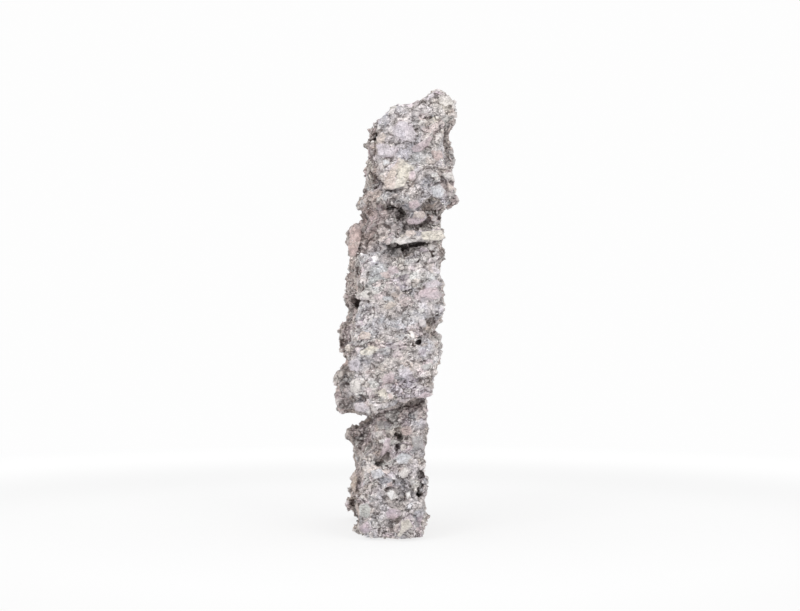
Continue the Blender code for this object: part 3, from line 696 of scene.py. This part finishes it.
def scatter_tree(name, keep_skin):
    """Scatters chips over the skin, each sunk in it, alone or joined to the skin."""
    inputs = [("Stone", "Geometry", None), ("Chips", "Collection", None), ("Gap", "Float", 0.006),
              ("Smallest", "Float", 0.002), ("Largest", "Float", 0.006), ("Sunk", "Float", 0.3),
              ("Seed", "Int", 0), ("Material", "Material", None)]
    tree, given, result = new_group("GeometryNodeTree", name, inputs, [("Stone", "Geometry")])
    take = given.outputs
    here = put(tree, "GeometryNodeInputPosition").outputs[0]
    above = put(tree, "ShaderNodeSeparateXYZ", {0: here}).outputs[2]
    smooth = put(tree, "GeometryNodeInputNamedAttribute", {"Name": "smooth"}, data_type="FLOAT").outputs[0]
    allowed = sum_of(tree, "MULTIPLY", step_of(tree, above, 3 * MM, 5 * MM), step_of(tree, smooth, 0.75, 0.5))
    points = put(tree, "GeometryNodeDistributePointsOnFaces", {
        "Mesh": take["Stone"], "Selection": sum_of(tree, "GREATER_THAN", allowed, 0.5), "Distance Min": take["Gap"],
        "Density Max": 90000.0, "Seed": take["Seed"]}, distribute_method="POISSON")
    chance = put(tree, "FunctionNodeRandomValue", {"Seed": take["Seed"]}, data_type="FLOAT")
    skewed = sum_of(tree, "POWER", chance.outputs[1], 2.6)
    size = put(tree, "ShaderNodeMapRange", {
        "Value": skewed, "To Min": take["Smallest"], "To Max": take["Largest"]}).outputs["Result"]
    turn = put(tree, "FunctionNodeRandomValue", {
        "Min": (0, 0, 0), "Max": (math.tau,) * 3, "Seed": take["Seed"]}, data_type="FLOAT_VECTOR")
    inward = vector_of(tree, "SCALE", points.outputs["Normal"],
                       sum_of(tree, "MULTIPLY", sum_of(tree, "MULTIPLY", size, take["Sunk"]), -1.0))
    sunk = put(tree, "GeometryNodeSetPosition", {"Geometry": points.outputs["Points"], "Offset": inward})
    tint = put(tree, "FunctionNodeRandomValue", {"Min": (0, 0, 0), "Max": (1, 1, 1), "Seed": 3}, data_type="FLOAT_VECTOR")
    marked = put(tree, "GeometryNodeStoreNamedAttribute", {
        "Geometry": sunk.outputs[0], "Name": "grain_chance", "Value": tint.outputs[0]},
        data_type="FLOAT_VECTOR", domain="POINT")
    kinds = put(tree, "GeometryNodeCollectionInfo", {
        "Collection": take["Chips"], "Separate Children": True, "Reset Children": True})
    set_on = put(tree, "GeometryNodeInstanceOnPoints", {
        "Points": marked.outputs[0], "Instance": kinds.outputs[0], "Pick Instance": True,
        "Rotation": turn.outputs[0], "Scale": size})
    real = put(tree, "GeometryNodeRealizeInstances", {"Geometry": set_on.outputs[0]}).outputs[0]
    if keep_skin:
        joined = put(tree, "GeometryNodeJoinGeometry")
        tree.links.new(real, joined.inputs[0])
        tree.links.new(take["Stone"], joined.inputs[0])
        real = joined.outputs[0]
    finish = put(tree, "GeometryNodeSetMaterial", {"Geometry": real, "Material": take["Material"]})
    tree.links.new(finish.outputs[0], result.inputs[0])
    return tree


def store(tree, stone, name, value, kind="FLOAT"):
    links = {"Geometry": stone, "Name": name, "Value": value}
    return put(tree, "GeometryNodeStoreNamedAttribute", links, data_type=kind, domain="POINT").outputs[0]


def total_of(tree, parts):
    """The sum of all the parts."""
    total = parts[0]
    for part in parts[1:]:
        total = sum_of(tree, "ADD", total, part)
    return total


def sheltered(tree, stone, here, out):
    """How much of the sky is shut off close by, and how much farther off, by rays to all sides."""
    start = vector_of(tree, "ADD", here, vector_of(tree, "SCALE", out, 0.8 * MM))
    near, far = 0.0, 0.0
    for ray in range(SHELTER_RAYS):
        up = 1 - (2 * ray + 1) / SHELTER_RAYS
        turn = ray * math.pi * (3 - math.sqrt(5))
        level = math.sqrt(1 - up * up)
        around = (level * math.cos(turn), level * math.sin(turn), up)
        way = vector_of(tree, "NORMALIZE", vector_of(tree, "ADD", out, around))
        cast = put(tree, "GeometryNodeRaycast", {
            "Target Geometry": stone, "Source Position": start, "Ray Direction": way,
            "Ray Length": SHELTER_FAR})
        met = cast.outputs["Is Hit"]
        length = cast.outputs["Hit Distance"]
        shut_near = step_of(tree, length, 0.0, SHELTER_NEAR, 1.0, 0.0)
        shut_far = step_of(tree, length, 0.0, SHELTER_FAR, 1.0, 0.0)
        near = sum_of(tree, "ADD", near, sum_of(tree, "MULTIPLY", shut_near, met))
        far = sum_of(tree, "ADD", far, sum_of(tree, "MULTIPLY", shut_far, met))
    return [sum_of(tree, "DIVIDE", total, float(SHELTER_RAYS)) for total in (near, far)]


def relief_tree():
    """Raises and lowers the skin: blocks, the crumpled skin, pits and fine roughness."""
    sizes = ["Block Size", "Block Relief", "Pebble Size", "Pebble Relief", "Crumb Size", "Crumb Relief",
             "Pit Size", "Pit Depth"]
    inputs = [("Stone", "Geometry", None)] + [(title, "Float", 0.005) for title in sizes]
    inputs.append(("Material", "Material", None))
    tree, given, result = new_group("GeometryNodeTree", "Relief of the skin", inputs, [("Stone", "Geometry")])
    take = given.outputs
    here = put(tree, "GeometryNodeInputPosition").outputs[0]
    out = put(tree, "GeometryNodeInputNormal").outputs[0]
    kept = store(tree, take["Stone"], "base_place", here, "FLOAT_VECTOR")
    bedded = bedding_place(tree, here)
    ragged = warped_place(tree, bedded, 0.010, 0.007)
    parts = []
    for title, lean, ditch in (("Block", 0.25, 0.0), ("Pebble", 0.5, 0.4), ("Crumb", 0.5, 0.4)):
        cell = cells(tree, ragged, take[title + " Size"])
        uneven = sum_of(tree, "SUBTRACT", cell.chance, 0.5)
        sunk = step_of(tree, cell.edge, 0.0, 0.16, -ditch, 0.0)
        parts.append(sum_of(tree, "MULTIPLY", sum_of(tree, "ADD", uneven, sunk), take[title + " Relief"]))
        parts.append(sum_of(tree, "MULTIPLY", cell.slope, lean))
    parts = [sum_of(tree, "MULTIPLY", total_of(tree, parts), zone(tree, bedded))]
    pit = cells(tree, ragged, take["Pit Size"])
    pit_here = step_of(tree, pit.chance, 0.80, 0.84)
    bowl = step_of(tree, pit.middle, 0.08, 0.26, -1.0, 0.0)
    parts.append(sum_of(tree, "MULTIPLY", sum_of(tree, "MULTIPLY", pit_here, bowl), take["Pit Depth"]))
    smooth = put(tree, "GeometryNodeInputNamedAttribute", {"Name": "smooth"}, data_type="FLOAT").outputs[0]
    rough = sum_of(tree, "SUBTRACT", 1.0, sum_of(tree, "MULTIPLY", smooth, 0.8))
    above = put(tree, "ShaderNodeSeparateXYZ", {0: here}).outputs[2]
    on_foot = step_of(tree, above, 0.5 * MM, 3 * MM)
    height = sum_of(tree, "MULTIPLY", sum_of(tree, "MULTIPLY", total_of(tree, parts), rough), on_foot)
    moved = put(tree, "GeometryNodeSetPosition", {
        "Geometry": kept, "Offset": vector_of(tree, "SCALE", out, height)}).outputs[0]

    level = put(tree, "GeometryNodeBlurAttribute", {"Value": here, "Iterations": 5}, data_type="FLOAT_VECTOR")
    hollow = vector_of(tree, "DOT_PRODUCT", vector_of(tree, "SUBTRACT", level.outputs[0], here), out)
    moved = store(tree, moved, "hollow", hollow)
    near, far = sheltered(tree, moved, here, out)
    moved = store(tree, moved, "shelter_near", near)
    moved = store(tree, moved, "shelter_far", far)
    finish = put(tree, "GeometryNodeSetMaterial", {"Geometry": moved, "Material": take["Material"]})
    tree.links.new(finish.outputs[0], result.inputs[0])
    return tree


def run_tree(piece, tree, values):
    """Puts a tree on a piece with its inputs, and makes the result the piece's own mesh."""
    made = piece.modifiers.new(tree.name, "NODES")
    made.node_group = tree
    names = {item.name: item.identifier for item in tree.interface.items_tree if item.in_out == "INPUT"}
    for title, value in values.items():
        made[names[title]] = value
    as_plain_mesh(piece)


def attribute_of(mesh, name, kind, values):
    """Stores one value for each point."""
    held = mesh.attributes.new(name, kind, "POINT")
    field = "color" if kind == "FLOAT_COLOR" else "value"
    held.data.foreach_set(field, np.ascontiguousarray(values, dtype=np.float32).ravel())


def points_of(mesh):
    flat = np.empty(len(mesh.vertices) * 3, dtype=np.float32)
    mesh.vertices.foreach_get("co", flat)
    return flat.reshape(-1, 3).astype(float)


def ways_out(mesh):
    """The normal at each point."""
    flat = np.empty(len(mesh.vertices) * 3, dtype=np.float32)
    mesh.vertices.foreach_get("normal", flat)
    return flat.reshape(-1, 3).astype(float)


def mark_clasts(mesh, blocks, colours):
    """Stores the nearest clast's tint, and how far inside its faces each point is, in metres."""
    points = points_of(mesh)
    inside = np.full(len(points), -CLAST_REACH)
    tint = np.ones((len(points), 4))
    for name, hull, mark in blocks:
        corners = np.array([corner.co for corner in mark.verts])
        low, high = corners.min(axis=0) - CLAST_REACH, corners.max(axis=0) + CLAST_REACH
        close = np.flatnonzero(((points > low) & (points < high)).all(axis=1))
        ways = np.array([face.normal for face in mark.faces])
        starts = np.array([face.verts[0].co for face in mark.faces])
        depth = ((starts * ways).sum(axis=1) - points[close] @ ways.T).min(axis=1)
        nearer = close[depth > inside[close]]
        inside[nearer] = depth[depth > inside[close]]
        tint[nearer, :3] = getattr(colours, name)[:3]
    attribute_of(mesh, "clast_tint", "FLOAT_COLOR", tint)
    attribute_of(mesh, "clast_inside", "FLOAT", inside)
    attribute_of(mesh, "smooth", "FLOAT", np.clip(inside / MM * 0.5 + 1.0, 0, 1))


def in_picture(points):
    """Where the points are seen in the picture, in its pixels."""
    away = points - np.array(camera_place())
    reach = CAMERA_DISTANCE / away[:, 1]
    across = PICTURE_WIDTH / 2 + away[:, 0] * reach / PIXEL
    down = PICTURE_HEIGHT / 2 - away[:, 2] * reach / PIXEL
    return np.stack((across, down), axis=1)


def carve_creases(mesh):
    """Presses the creases into the side that the picture shows, and stores how deep each point is in one."""
    points = points_of(mesh)
    out = ways_out(mesh)
    shown = np.flatnonzero((out[:, 1] < 0.0) & (points[:, 2] > 1 * MM))
    places = in_picture(points[shown])
    share = np.zeros(len(points))
    depth = np.zeros(len(points))
    for half, deep, lines in CREASES:
        for line in lines:
            corners = np.array(line, dtype=float)
            low, high = corners.min(axis=0) - half, corners.max(axis=0) + half
            close = np.flatnonzero(((places > low) & (places < high)).all(axis=1))
            away = np.full(len(close), half)
            for start, end in zip(corners[:-1], corners[1:]):
                along = end - start
                part = np.clip((places[close] - start) @ along / (along @ along), 0, 1)
                away = np.minimum(away, np.linalg.norm(places[close] - start - part[:, None] * along, axis=1))
            near = 1 - away / half
            here = shown[close]
            share[here] = np.maximum(share[here], near)
            depth[here] = np.maximum(depth[here], near * deep * MM)
    points -= out * depth[:, None]
    mesh.vertices.foreach_set("co", points.astype(np.float32).ravel())
    mesh.update()
    attribute_of(mesh, "crease", "FLOAT", share)


def keep_inside_box(mesh):
    """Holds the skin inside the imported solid's box, and the foot flat on the ground."""
    points = points_of(mesh)
    low, high = (np.array(corner) for corner in CAD_BOX)
    points = np.clip(points, low + 0.1 * MM, high - 0.1 * MM)
    points[points[:, 2] < 0.8 * MM, 2] = 0.0
    mesh.vertices.foreach_set("co", points.astype(np.float32).ravel())
    mesh.update()


def mark_weathered(mesh):
    """Stores how weathered the skin is: the broken front edge is fresh, the rest is not."""
    across, down = in_picture(points_of(mesh)).T
    rows, edges = zip(*FACE_EDGE)
    left = np.clip((np.interp(down, rows, edges) - across) / 4 + 0.5, 0, 1)
    depth = np.clip(((points_of(mesh)[:, 1] - FRONT_PLANE) / MM - 14) / 30, 0, 1)
    turned = np.clip((ways_out(mesh)[:, 1] + 0.1) / 0.4, 0, 1)
    attribute_of(mesh, "weathered", "FLOAT", np.clip(np.maximum(left, depth * 0.75) + turned * 0.4, 0, 1))


def triangles_of(mesh):
    mesh.calc_loop_triangles()
    return len(mesh.loop_triangles)


def thin_out(stone, most, front_share):
    """Thins the skin to the most triangles, the sides and the back first."""
    behind = (points_of(stone.data)[:, 1] > FRONT_PLANE + 45 * MM) | (ways_out(stone.data)[:, 1] > 0.2)
    group = stone.vertex_groups.new(name="behind")
    group.add(np.flatnonzero(behind).tolist(), 1.0, "REPLACE")
    whole = triangles_of(stone.data)
    front = whole * (1 - behind.mean())
    thinned = front + front * (1 - front_share) / front_share
    first = stone.modifiers.new("behind", "DECIMATE")
    first.vertex_group = group.name
    first.ratio = min(1.0, thinned / whole)
    as_plain_mesh(stone)
    left = triangles_of(stone.data)
    if left > most:
        rest = stone.modifiers.new("rest", "DECIMATE")
        rest.ratio = most / left
        as_plain_mesh(stone)
    stone.vertex_groups.clear()


def take_piece(left):
    """Takes all the points that hang together with one of those left."""
    ends = [left.pop()]
    piece = []
    while ends:
        point = ends.pop()
        piece.append(point)
        near = [edge.other_vert(point) for edge in point.link_edges]
        for other in near:
            if other in left:
                left.remove(other)
                ends.append(other)
    return piece


def drop_scraps(mesh):
    """Keeps the largest piece alone, without the fins and loose scraps that thinning leaves."""
    shape = bmesh.new()
    shape.from_mesh(mesh)
    fins = [face for face in shape.faces if any(edge.is_boundary for edge in face.edges)
            and any(len(edge.link_faces) > 2 for edge in face.edges)]
    bmesh.ops.delete(shape, geom=fins, context="FACES")
    left = set(shape.verts)
    pieces = []
    while left:
        pieces.append(take_piece(left))
    pieces.sort(key=len)
    scraps = [point for piece in pieces[:-1] for point in piece]
    bmesh.ops.delete(shape, geom=scraps, context="VERTS")
    shape.to_mesh(mesh)
    shape.free()
    mesh.validate(clean_customdata=False)


class STONE_OT_skin(bpy.types.Operator):
    """Shape the stone: forms, pockets, clasts, chips and fine relief"""
    bl_idname = "stone.skin"
    bl_label = "Shape the stone"

    def execute(self, context):
        shape = context.scene.stone_shape
        colours = context.scene.stone_colours
        dice = random.Random(shape.seed)
        stone = object_of(solid_copy(), STONE)
        solid = BVHTree.FromObject(stone, context.evaluated_depsgraph_get())
        blocks = list(blocks_of(solid))
        add_forms(stone, dice)
        cut_pockets(stone, dice)
        inset = stone.modifiers.new("inset", "DISPLACE")
        inset.mid_level = 0
        inset.strength = -shape.inset
        as_plain_mesh(stone)
        mark_clasts(stone.data, blocks, colours)
        material = breccia_material(colours, shape)
        chips = chip_kinds("chips", dice, 6, 1, 0.75)
        run_tree(stone, scatter_tree("Chips on the skin", True), {
            "Chips": chips, "Gap": shape.chip_gap, "Smallest": shape.chip_small,
            "Largest": shape.chip_large, "Sunk": 0.3, "Seed": shape.seed, "Material": material})
        put_away(chips)
        add_clasts(stone, blocks)
        skinned(stone, shape.skin)
        mark_clasts(stone.data, blocks, colours)
        carve_creases(stone.data)
        run_tree(stone, relief_tree(), {
            "Block Size": shape.block_size, "Block Relief": shape.block_relief,
            "Pebble Size": shape.pebble_size, "Pebble Relief": shape.pebble_relief,
            "Crumb Size": shape.crumb_size, "Crumb Relief": shape.crumb_relief,
            "Pit Size": shape.pit_size, "Pit Depth": shape.pit_depth, "Material": material})
        thin_out(stone, shape.most_triangles, 0.55)
        drop_scraps(stone.data)
        keep_inside_box(stone.data)
        mark_weathered(stone.data)
        stone.data.shade_smooth()
        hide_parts(SOLID)
        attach(stone, "root")
        return {"FINISHED"}


class STONE_OT_grains(bpy.types.Operator):
    """Set the small grains that stand out of the stone's skin"""
    bl_idname = "stone.grains"
    bl_label = "Set the grains"

    def execute(self, context):
        shape = context.scene.stone_shape
        stone = bpy.data.objects[STONE]
        grains = bpy.data.objects.new(GRAINS, stone.data.copy())
        context.scene.collection.objects.link(grains)
        kinds = chip_kinds("grains", random.Random(shape.seed), 6, 0, 0.8)
        run_tree(grains, scatter_tree("Grains on the skin", False), {
            "Chips": kinds, "Gap": shape.loose_gap, "Smallest": shape.loose_small,
            "Largest": shape.loose_large, "Sunk": 0.6, "Seed": shape.seed + 1,
            "Material": grain_material(context.scene.stone_colours)})
        put_away(kinds)
        keep_inside_box(grains.data)
        grains.data.shade_flat()
        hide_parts(SOLID)
        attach(grains, "root")
        return {"FINISHED"}


# Finish


def ramp_of(tree, value, stops, mode="CONSTANT"):
    """A colour ramp's colour for a value. Each stop is (place, colour)."""
    made = put(tree, "ShaderNodeValToRGB", {"Fac": value})
    ramp = made.color_ramp
    ramp.interpolation = mode
    while len(ramp.elements) < len(stops):
        ramp.elements.new(1.0)
    for element, (place, colour) in zip(ramp.elements, stops):
        element.position = place
        element.color = (*colour[:3], 1)
    return made.outputs["Color"]


def attribute(tree, name, output="Fac"):
    return put(tree, "ShaderNodeAttribute", attribute_name=name).outputs[output]


def tint_stops(colours, first):
    """Equal steps of all the tints, starting with the first-th."""
    order = TINTS[first:] + TINTS[:first]
    return [(number / len(order), getattr(colours, tint)) for number, tint in enumerate(order)]


def scaled(tree, colour, factor):
    return vector_of(tree, "SCALE", colour, factor)


def ground_group(colours):
    """The ground between the clasts: mottled grey, browner and darker on the weathered sides."""
    tree, given, result = new_group("ShaderNodeTree", "Ground", [("Place", "Vector", None)], [("Color", "Color")])
    place = given.outputs["Place"]
    mottle = put(tree, "ShaderNodeTexNoise", {"Vector": place, "Scale": 40.0, "Detail": 3.0}).outputs["Fac"]
    shown = ramp_of(tree, mottle, [(0.34, colours.cool), (0.5, colours.ground), (0.66, colours.warm)], "LINEAR")
    shown = blend_of(tree, sum_of(tree, "MULTIPLY", attribute(tree, "weathered"), 0.85), shown, colours.weathered)
    shade = put(tree, "ShaderNodeTexNoise", {"Vector": place, "Scale": 75.0, "Detail": 2.0}).outputs["Fac"]
    tree.links.new(scaled(tree, shown, step_of(tree, shade, 0.36, 0.64, 0.84, 1.10)), result.inputs[0])
    return tree


def speckle_group():
    """Fine light and dark speckles, as a factor for a colour, about 1 in all."""
    tree, given, result = new_group("ShaderNodeTree", "Speckles", [("Place", "Vector", None)], [("Factor", "Float")])
    place = given.outputs["Place"]
    fine = put(tree, "ShaderNodeTexNoise", {"Vector": place, "Scale": 480.0, "Detail": 2.0, "Roughness": 0.6})
    factor = put(tree, "ShaderNodeMapRange", {
        "Value": fine.outputs["Fac"], "From Min": 0.34, "From Max": 0.66, "To Min": 0.72, "To Max": 1.28})
    tree.links.new(factor.outputs["Result"], result.inputs[0])
    return tree


def mark_group():
    """Small crevices, 1 in their middle, in clusters and drawn out along the bedding, where painted shade goes."""
    tree, given, result = new_group("ShaderNodeTree", "Crevices", [("Place", "Vector", None)], [("Factor", "Float")])
    place = vector_of(tree, "MULTIPLY", given.outputs["Place"], (1.0, 1.0, 1.3))
    spots = put(tree, "ShaderNodeTexNoise", {
        "Vector": place, "Scale": 190.0, "Detail": 2.0, "Roughness": 0.55, "Distortion": 0.8}).outputs["Fac"]
    zones = put(tree, "ShaderNodeTexNoise", {"Vector": place, "Scale": 48.0, "Detail": 2.0}).outputs["Fac"]
    line = step_of(tree, sum_of(tree, "ADD", spots, sum_of(tree, "MULTIPLY", zones, 0.35)), 0.78, 0.86)
    tree.links.new(line, result.inputs[0])
    return tree


def grouped(tree, group, place):
    made = put(tree, "ShaderNodeGroup", node_tree=group)
    tree.links.new(place, made.inputs["Place"])
    return made.outputs[0]


def shade_sheltered(tree, shown, colours):
    """Darkens what is sheltered, close by and farther off: painted shade, with some soil in the crevices."""
    near = step_of(tree, attribute(tree, "shelter_near"), 0.30, 0.85, 0.0, 0.8)
    shown = blend_of(tree, near, shown, colours.dirt_and_shade)
    # The far shelter darkens the recesses under ledges: painted shade.
    far = step_of(tree, attribute(tree, "shelter_far"), 0.45, 0.95, 0.0, 0.5)
    return blend_of(tree, far, shown, colours.dirt_and_shade)


def stone_shader(name):
    material = bpy.data.materials.new(name)
    material.use_nodes = True
    shader = material.node_tree.nodes["Principled BSDF"]
    shader.inputs["Specular IOR Level"].default_value = 0.3
    return material, material.node_tree, shader


def breccia_material(colours, shape):
    """The stone's finish: ground, pebbles and clasts of many tints; painted shade, partly soil, in its hollows, cracks
    and creases; ridges lighter by wear and painted highlight.
    """
    material, tree, shader = stone_shader("breccia")
    place = attribute(tree, "base_place", "Vector")
    bedded = bedding_place(tree, place)
    ragged = warped_place(tree, bedded, 0.010, 0.007)
    block = cells(tree, ragged, shape.block_size)
    pebble = cells(tree, ragged, shape.pebble_size)
    crumb = cells(tree, ragged, shape.crumb_size)
    grit = cells(tree, ragged, shape.grit_size)
    shown = grouped(tree, ground_group(colours), place)
    for cell, rarity, strength, first in ((block, 0.5, 0.30, 0), (pebble, 0.7, 0.35, 3)):
        share = step_of(tree, cell.chance, rarity, rarity + 0.02, 0.0, strength)
        shown = blend_of(tree, share, shown, ramp_of(tree, cell.second, tint_stops(colours, first)))
    wide = put(tree, "ShaderNodeTexNoise", {"Vector": place, "Scale": 90.0, "Detail": 1.0}).outputs["Fac"]
    small = put(tree, "ShaderNodeTexNoise", {"Vector": place, "Scale": 260.0, "Detail": 2.0}).outputs["Fac"]
    edge = total_of(tree, [attribute(tree, "clast_inside"),
                           sum_of(tree, "MULTIPLY", sum_of(tree, "SUBTRACT", wide, 0.45), 5 * MM),
                           sum_of(tree, "MULTIPLY", sum_of(tree, "SUBTRACT", small, 0.5), 4 * MM)])
    in_clast = step_of(tree, edge, -0.2 * MM, 0.5 * MM)
    shown = blend_of(tree, sum_of(tree, "MULTIPLY", in_clast, 0.6), shown, attribute(tree, "clast_tint", "Color"))

    calm = sum_of(tree, "SUBTRACT", 1.0, sum_of(tree, "MULTIPLY", in_clast, 0.5))
    old = attribute(tree, "weathered")
    factor = grouped(tree, speckle_group(), place)
    for cell, depth in ((pebble, 0.16), (crumb, 0.22), (grit, 0.26)):
        part = put(tree, "ShaderNodeMapRange", {"Value": cell.third, "To Min": 1 - depth, "To Max": 1 + depth * 0.8})
        factor = sum_of(tree, "MULTIPLY", factor, part.outputs["Result"])
    factor = put(tree, "ShaderNodeMix", {0: calm, 2: 1.0, 3: factor}, data_type="FLOAT").outputs[0]
    shown = scaled(tree, shown, factor)
    low = sum_of(tree, "MULTIPLY", old, -0.05)
    lines = [crevice(tree, place, pebble, 0.10, 60.0, sum_of(tree, "ADD", low, 0.53)),
             crevice(tree, place, crumb, 0.14, 90.0, sum_of(tree, "ADD", low, 0.56)),
             crevice(tree, place, grit, 0.20, 120.0, sum_of(tree, "ADD", low, 0.59))]
    deepest = sum_of(tree, "MAXIMUM", sum_of(tree, "MAXIMUM", lines[0], lines[1]), lines[2])
    # The crevices and small marks are painted dark: painted shade in the cracks.
    dark = sum_of(tree, "MULTIPLY", sum_of(tree, "MAXIMUM", deepest, grouped(tree, mark_group(), bedded)), calm)
    shown = blend_of(tree, sum_of(tree, "MULTIPLY", dark, 0.7), shown, colours.dirt_and_shade)
    # Painted shade along the creases.
    crease_shade = step_of(tree, sum_of(tree, "ADD", attribute(tree, "crease"),
                                  sum_of(tree, "MULTIPLY", sum_of(tree, "SUBTRACT", small, 0.5), 0.9)), 0.2, 0.8, 0.0, 0.65)
    shown = blend_of(tree, crease_shade, shown, colours.dirt_and_shade)
    bright = sum_of(tree, "MULTIPLY", step_of(tree, grit.chance, 0.90, 0.91, 0.0, 0.8),
                    step_of(tree, grit.middle, 0.30, 0.45, 1.0, 0.0))
    shown = blend_of(tree, sum_of(tree, "MULTIPLY", bright, calm), shown, colours.white)
    # Painted shade where the skin is sheltered.
    shown = shade_sheltered(tree, shown, colours)
    # Convex ridges are lightened: partly wear, partly painted highlight.
    wear_and_highlight = step_of(tree, attribute(tree, "hollow"), -0.2 * MM, -1.0 * MM, 0.0, 0.4)
    shown = blend_of(tree, wear_and_highlight, shown, colours.pale)
    tree.links.new(shown, shader.inputs["Base Color"])

    fine = put(tree, "ShaderNodeTexNoise", {"Vector": place, "Scale": 700.0, "Detail": 3.0}).outputs["Fac"]
    broken = sum_of(tree, "DIVIDE", sum_of(tree, "ADD", grit.slope, sum_of(tree, "MULTIPLY", crumb.slope, 0.5)), MM)
    height = total_of(tree, [sum_of(tree, "MULTIPLY", fine, 0.4), sum_of(tree, "MULTIPLY", broken, 0.7),
                             sum_of(tree, "MULTIPLY", sum_of(tree, "MULTIPLY", dark, -1.0), 1.0)])
    bump = put(tree, "ShaderNodeBump", {"Height": height, "Strength": 0.9, "Distance": 1.0 * MM})
    tree.links.new(bump.outputs[0], shader.inputs["Normal"])
    tree.links.new(step_of(tree, in_clast, 0.0, 1.0, 0.92, 0.8), shader.inputs["Roughness"])
    return material


def grain_material(colours):
    """The finish of the grains that stand out: each has its own tint and shade."""
    material, tree, shader = stone_shader("grains")
    place = put(tree, "ShaderNodeTexCoord").outputs["Object"]
    chances = put(tree, "ShaderNodeSeparateXYZ", {0: attribute(tree, "grain_chance", "Vector")})
    shown = grouped(tree, ground_group(colours), place)
    shown = blend_of(tree, step_of(tree, chances.outputs[0], 0.5, 1.0, 0.0, 0.6), shown,
                     ramp_of(tree, chances.outputs[1], tint_stops(colours, 0)))
    shade = step_of(tree, chances.outputs[2], 0.0, 1.0, 0.72, 1.2)
    speckles = grouped(tree, speckle_group(), place)
    calm = sum_of(tree, "ADD", 0.5, sum_of(tree, "MULTIPLY", speckles, 0.5))
    shown = scaled(tree, shown, sum_of(tree, "MULTIPLY", shade, calm))
    # Painted shade where the grains are sheltered.
    shown = shade_sheltered(tree, shown, colours)
    tree.links.new(shown, shader.inputs["Base Color"])
    fine = put(tree, "ShaderNodeTexNoise", {"Vector": place, "Scale": 800.0, "Detail": 3.0}).outputs["Fac"]
    bump = put(tree, "ShaderNodeBump", {"Height": fine, "Strength": 0.5, "Distance": 0.5 * MM})
    tree.links.new(bump.outputs[0], shader.inputs["Normal"])
    shader.inputs["Roughness"].default_value = 0.88
    return material


# Stage


def light_at(name, place, aim, width, watts):
    data = bpy.data.lights.new(name, "AREA")
    data.shape = "SQUARE"
    data.size = width
    data.energy = watts
    made = bpy.data.objects.new(name, data)
    made.location = place
    made.rotation_euler = (Vector(aim) - Vector(place)).to_track_quat("-Z", "Y").to_euler()
    bpy.context.scene.collection.objects.link(made)


class STONE_OT_studio(bpy.types.Operator):
    """Build the studio: the floor, the lights and the camera"""
    bl_idname = "stone.studio"
    bl_label = "Build the studio"

    def execute(self, context):
        studio = context.scene.stone_studio
        shape = bmesh.new()
        bmesh.ops.create_circle(shape, cap_ends=True, segments=96, radius=studio.floor_size / 2)
        floor = object_of(shape, "floor")
        material = bpy.data.materials.new("pale floor")
        material.use_nodes = True
        shader = material.node_tree.nodes["Principled BSDF"]
        tree = material.node_tree
        place = put(tree, "ShaderNodeTexCoord").outputs["Object"]
        # The floor glows: its own light makes it look evenly white, and close to the stone it glows less and shows
        # more of its lit colour, so faint real shadows show.
        away = step_of(tree, vector_of(tree, "LENGTH", place), 0.45, 1.3)
        tree.links.new(blend_of(tree, away, studio.floor, (0.0, 0.0, 0.0)), shader.inputs["Base Color"])
        tree.links.new(step_of(tree, away, 0.0, 1.0, studio.glow, 0.985), shader.inputs["Emission Strength"])
        shader.inputs["Roughness"].default_value = 0.9
        shader.inputs["Specular IOR Level"].default_value = 0.0
        shader.inputs["Emission Color"].default_value = (1, 1, 1, 1)
        floor.data.materials.append(material)

        world = bpy.data.worlds.new("white studio")
        context.scene.world = world
        world.use_nodes = True
        seen = put(world.node_tree, "ShaderNodeLightPath").outputs["Is Camera Ray"]
        back = world.node_tree.nodes["Background"]
        back.inputs["Color"].default_value = (1, 1, 1, 1)
        world.node_tree.links.new(step_of(world.node_tree, seen, 0.0, 1.0, studio.sky, 0.985), back.inputs["Strength"])
        aim = (0, 0, 0.26)
        light_at("key light", (-1.2, -1.9, 1.9), aim, 1.2, studio.key)
        light_at("fill light", (1.3, -1.9, 1.5), aim, 1.2, studio.fill)

        data = bpy.data.cameras.new("camera")
        data.sensor_width = SENSOR_WIDTH
        data.lens = SENSOR_WIDTH * CAMERA_DISTANCE / (PICTURE_WIDTH * PIXEL)
        camera = bpy.data.objects.new("camera", data)
        camera.location = camera_place()
        camera.rotation_euler = (math.pi / 2, 0, 0)
        context.scene.collection.objects.link(camera)
        context.scene.camera = camera
        context.scene.view_settings.view_transform = "Standard"
        return {"FINISHED"}


class STONE_PT_panel(bpy.types.Panel):
    """Lists what makes the stone"""
    bl_label = "Ibigawa rock"
    bl_idname = "STONE_PT_panel"
    bl_space_type = "VIEW_3D"
    bl_region_type = "UI"
    bl_category = "Stone"

    def draw(self, context):
        scene = context.scene
        for group in (scene.stone_shape, scene.stone_colours, scene.stone_studio):
            box = self.layout.box()
            for field in group.bl_rna.properties:
                if field.identifier not in ("rna_type", "name"):
                    box.prop(group, field.identifier)
        for operator in (STONE_OT_skin, STONE_OT_grains, STONE_OT_studio):
            self.layout.operator(operator.bl_idname)


CLASSES = (StoneShape, StoneColours, StoneStudio, STONE_OT_skin, STONE_OT_grains, STONE_OT_studio, STONE_PT_panel)


def register():
    for kind in CLASSES:
        bpy.utils.register_class(kind)
    bpy.types.Scene.stone_shape = PointerProperty(type=StoneShape)
    bpy.types.Scene.stone_colours = PointerProperty(type=StoneColours)
    bpy.types.Scene.stone_studio = PointerProperty(type=StoneStudio)


def unregister():
    del bpy.types.Scene.stone_shape
    del bpy.types.Scene.stone_colours
    del bpy.types.Scene.stone_studio
    for kind in reversed(CLASSES):
        bpy.utils.unregister_class(kind)


def main():
    register()
    bpy.ops.stone.skin()
    bpy.ops.stone.grains()
    bpy.ops.stone.studio()


if __name__ == "__main__":
    main()
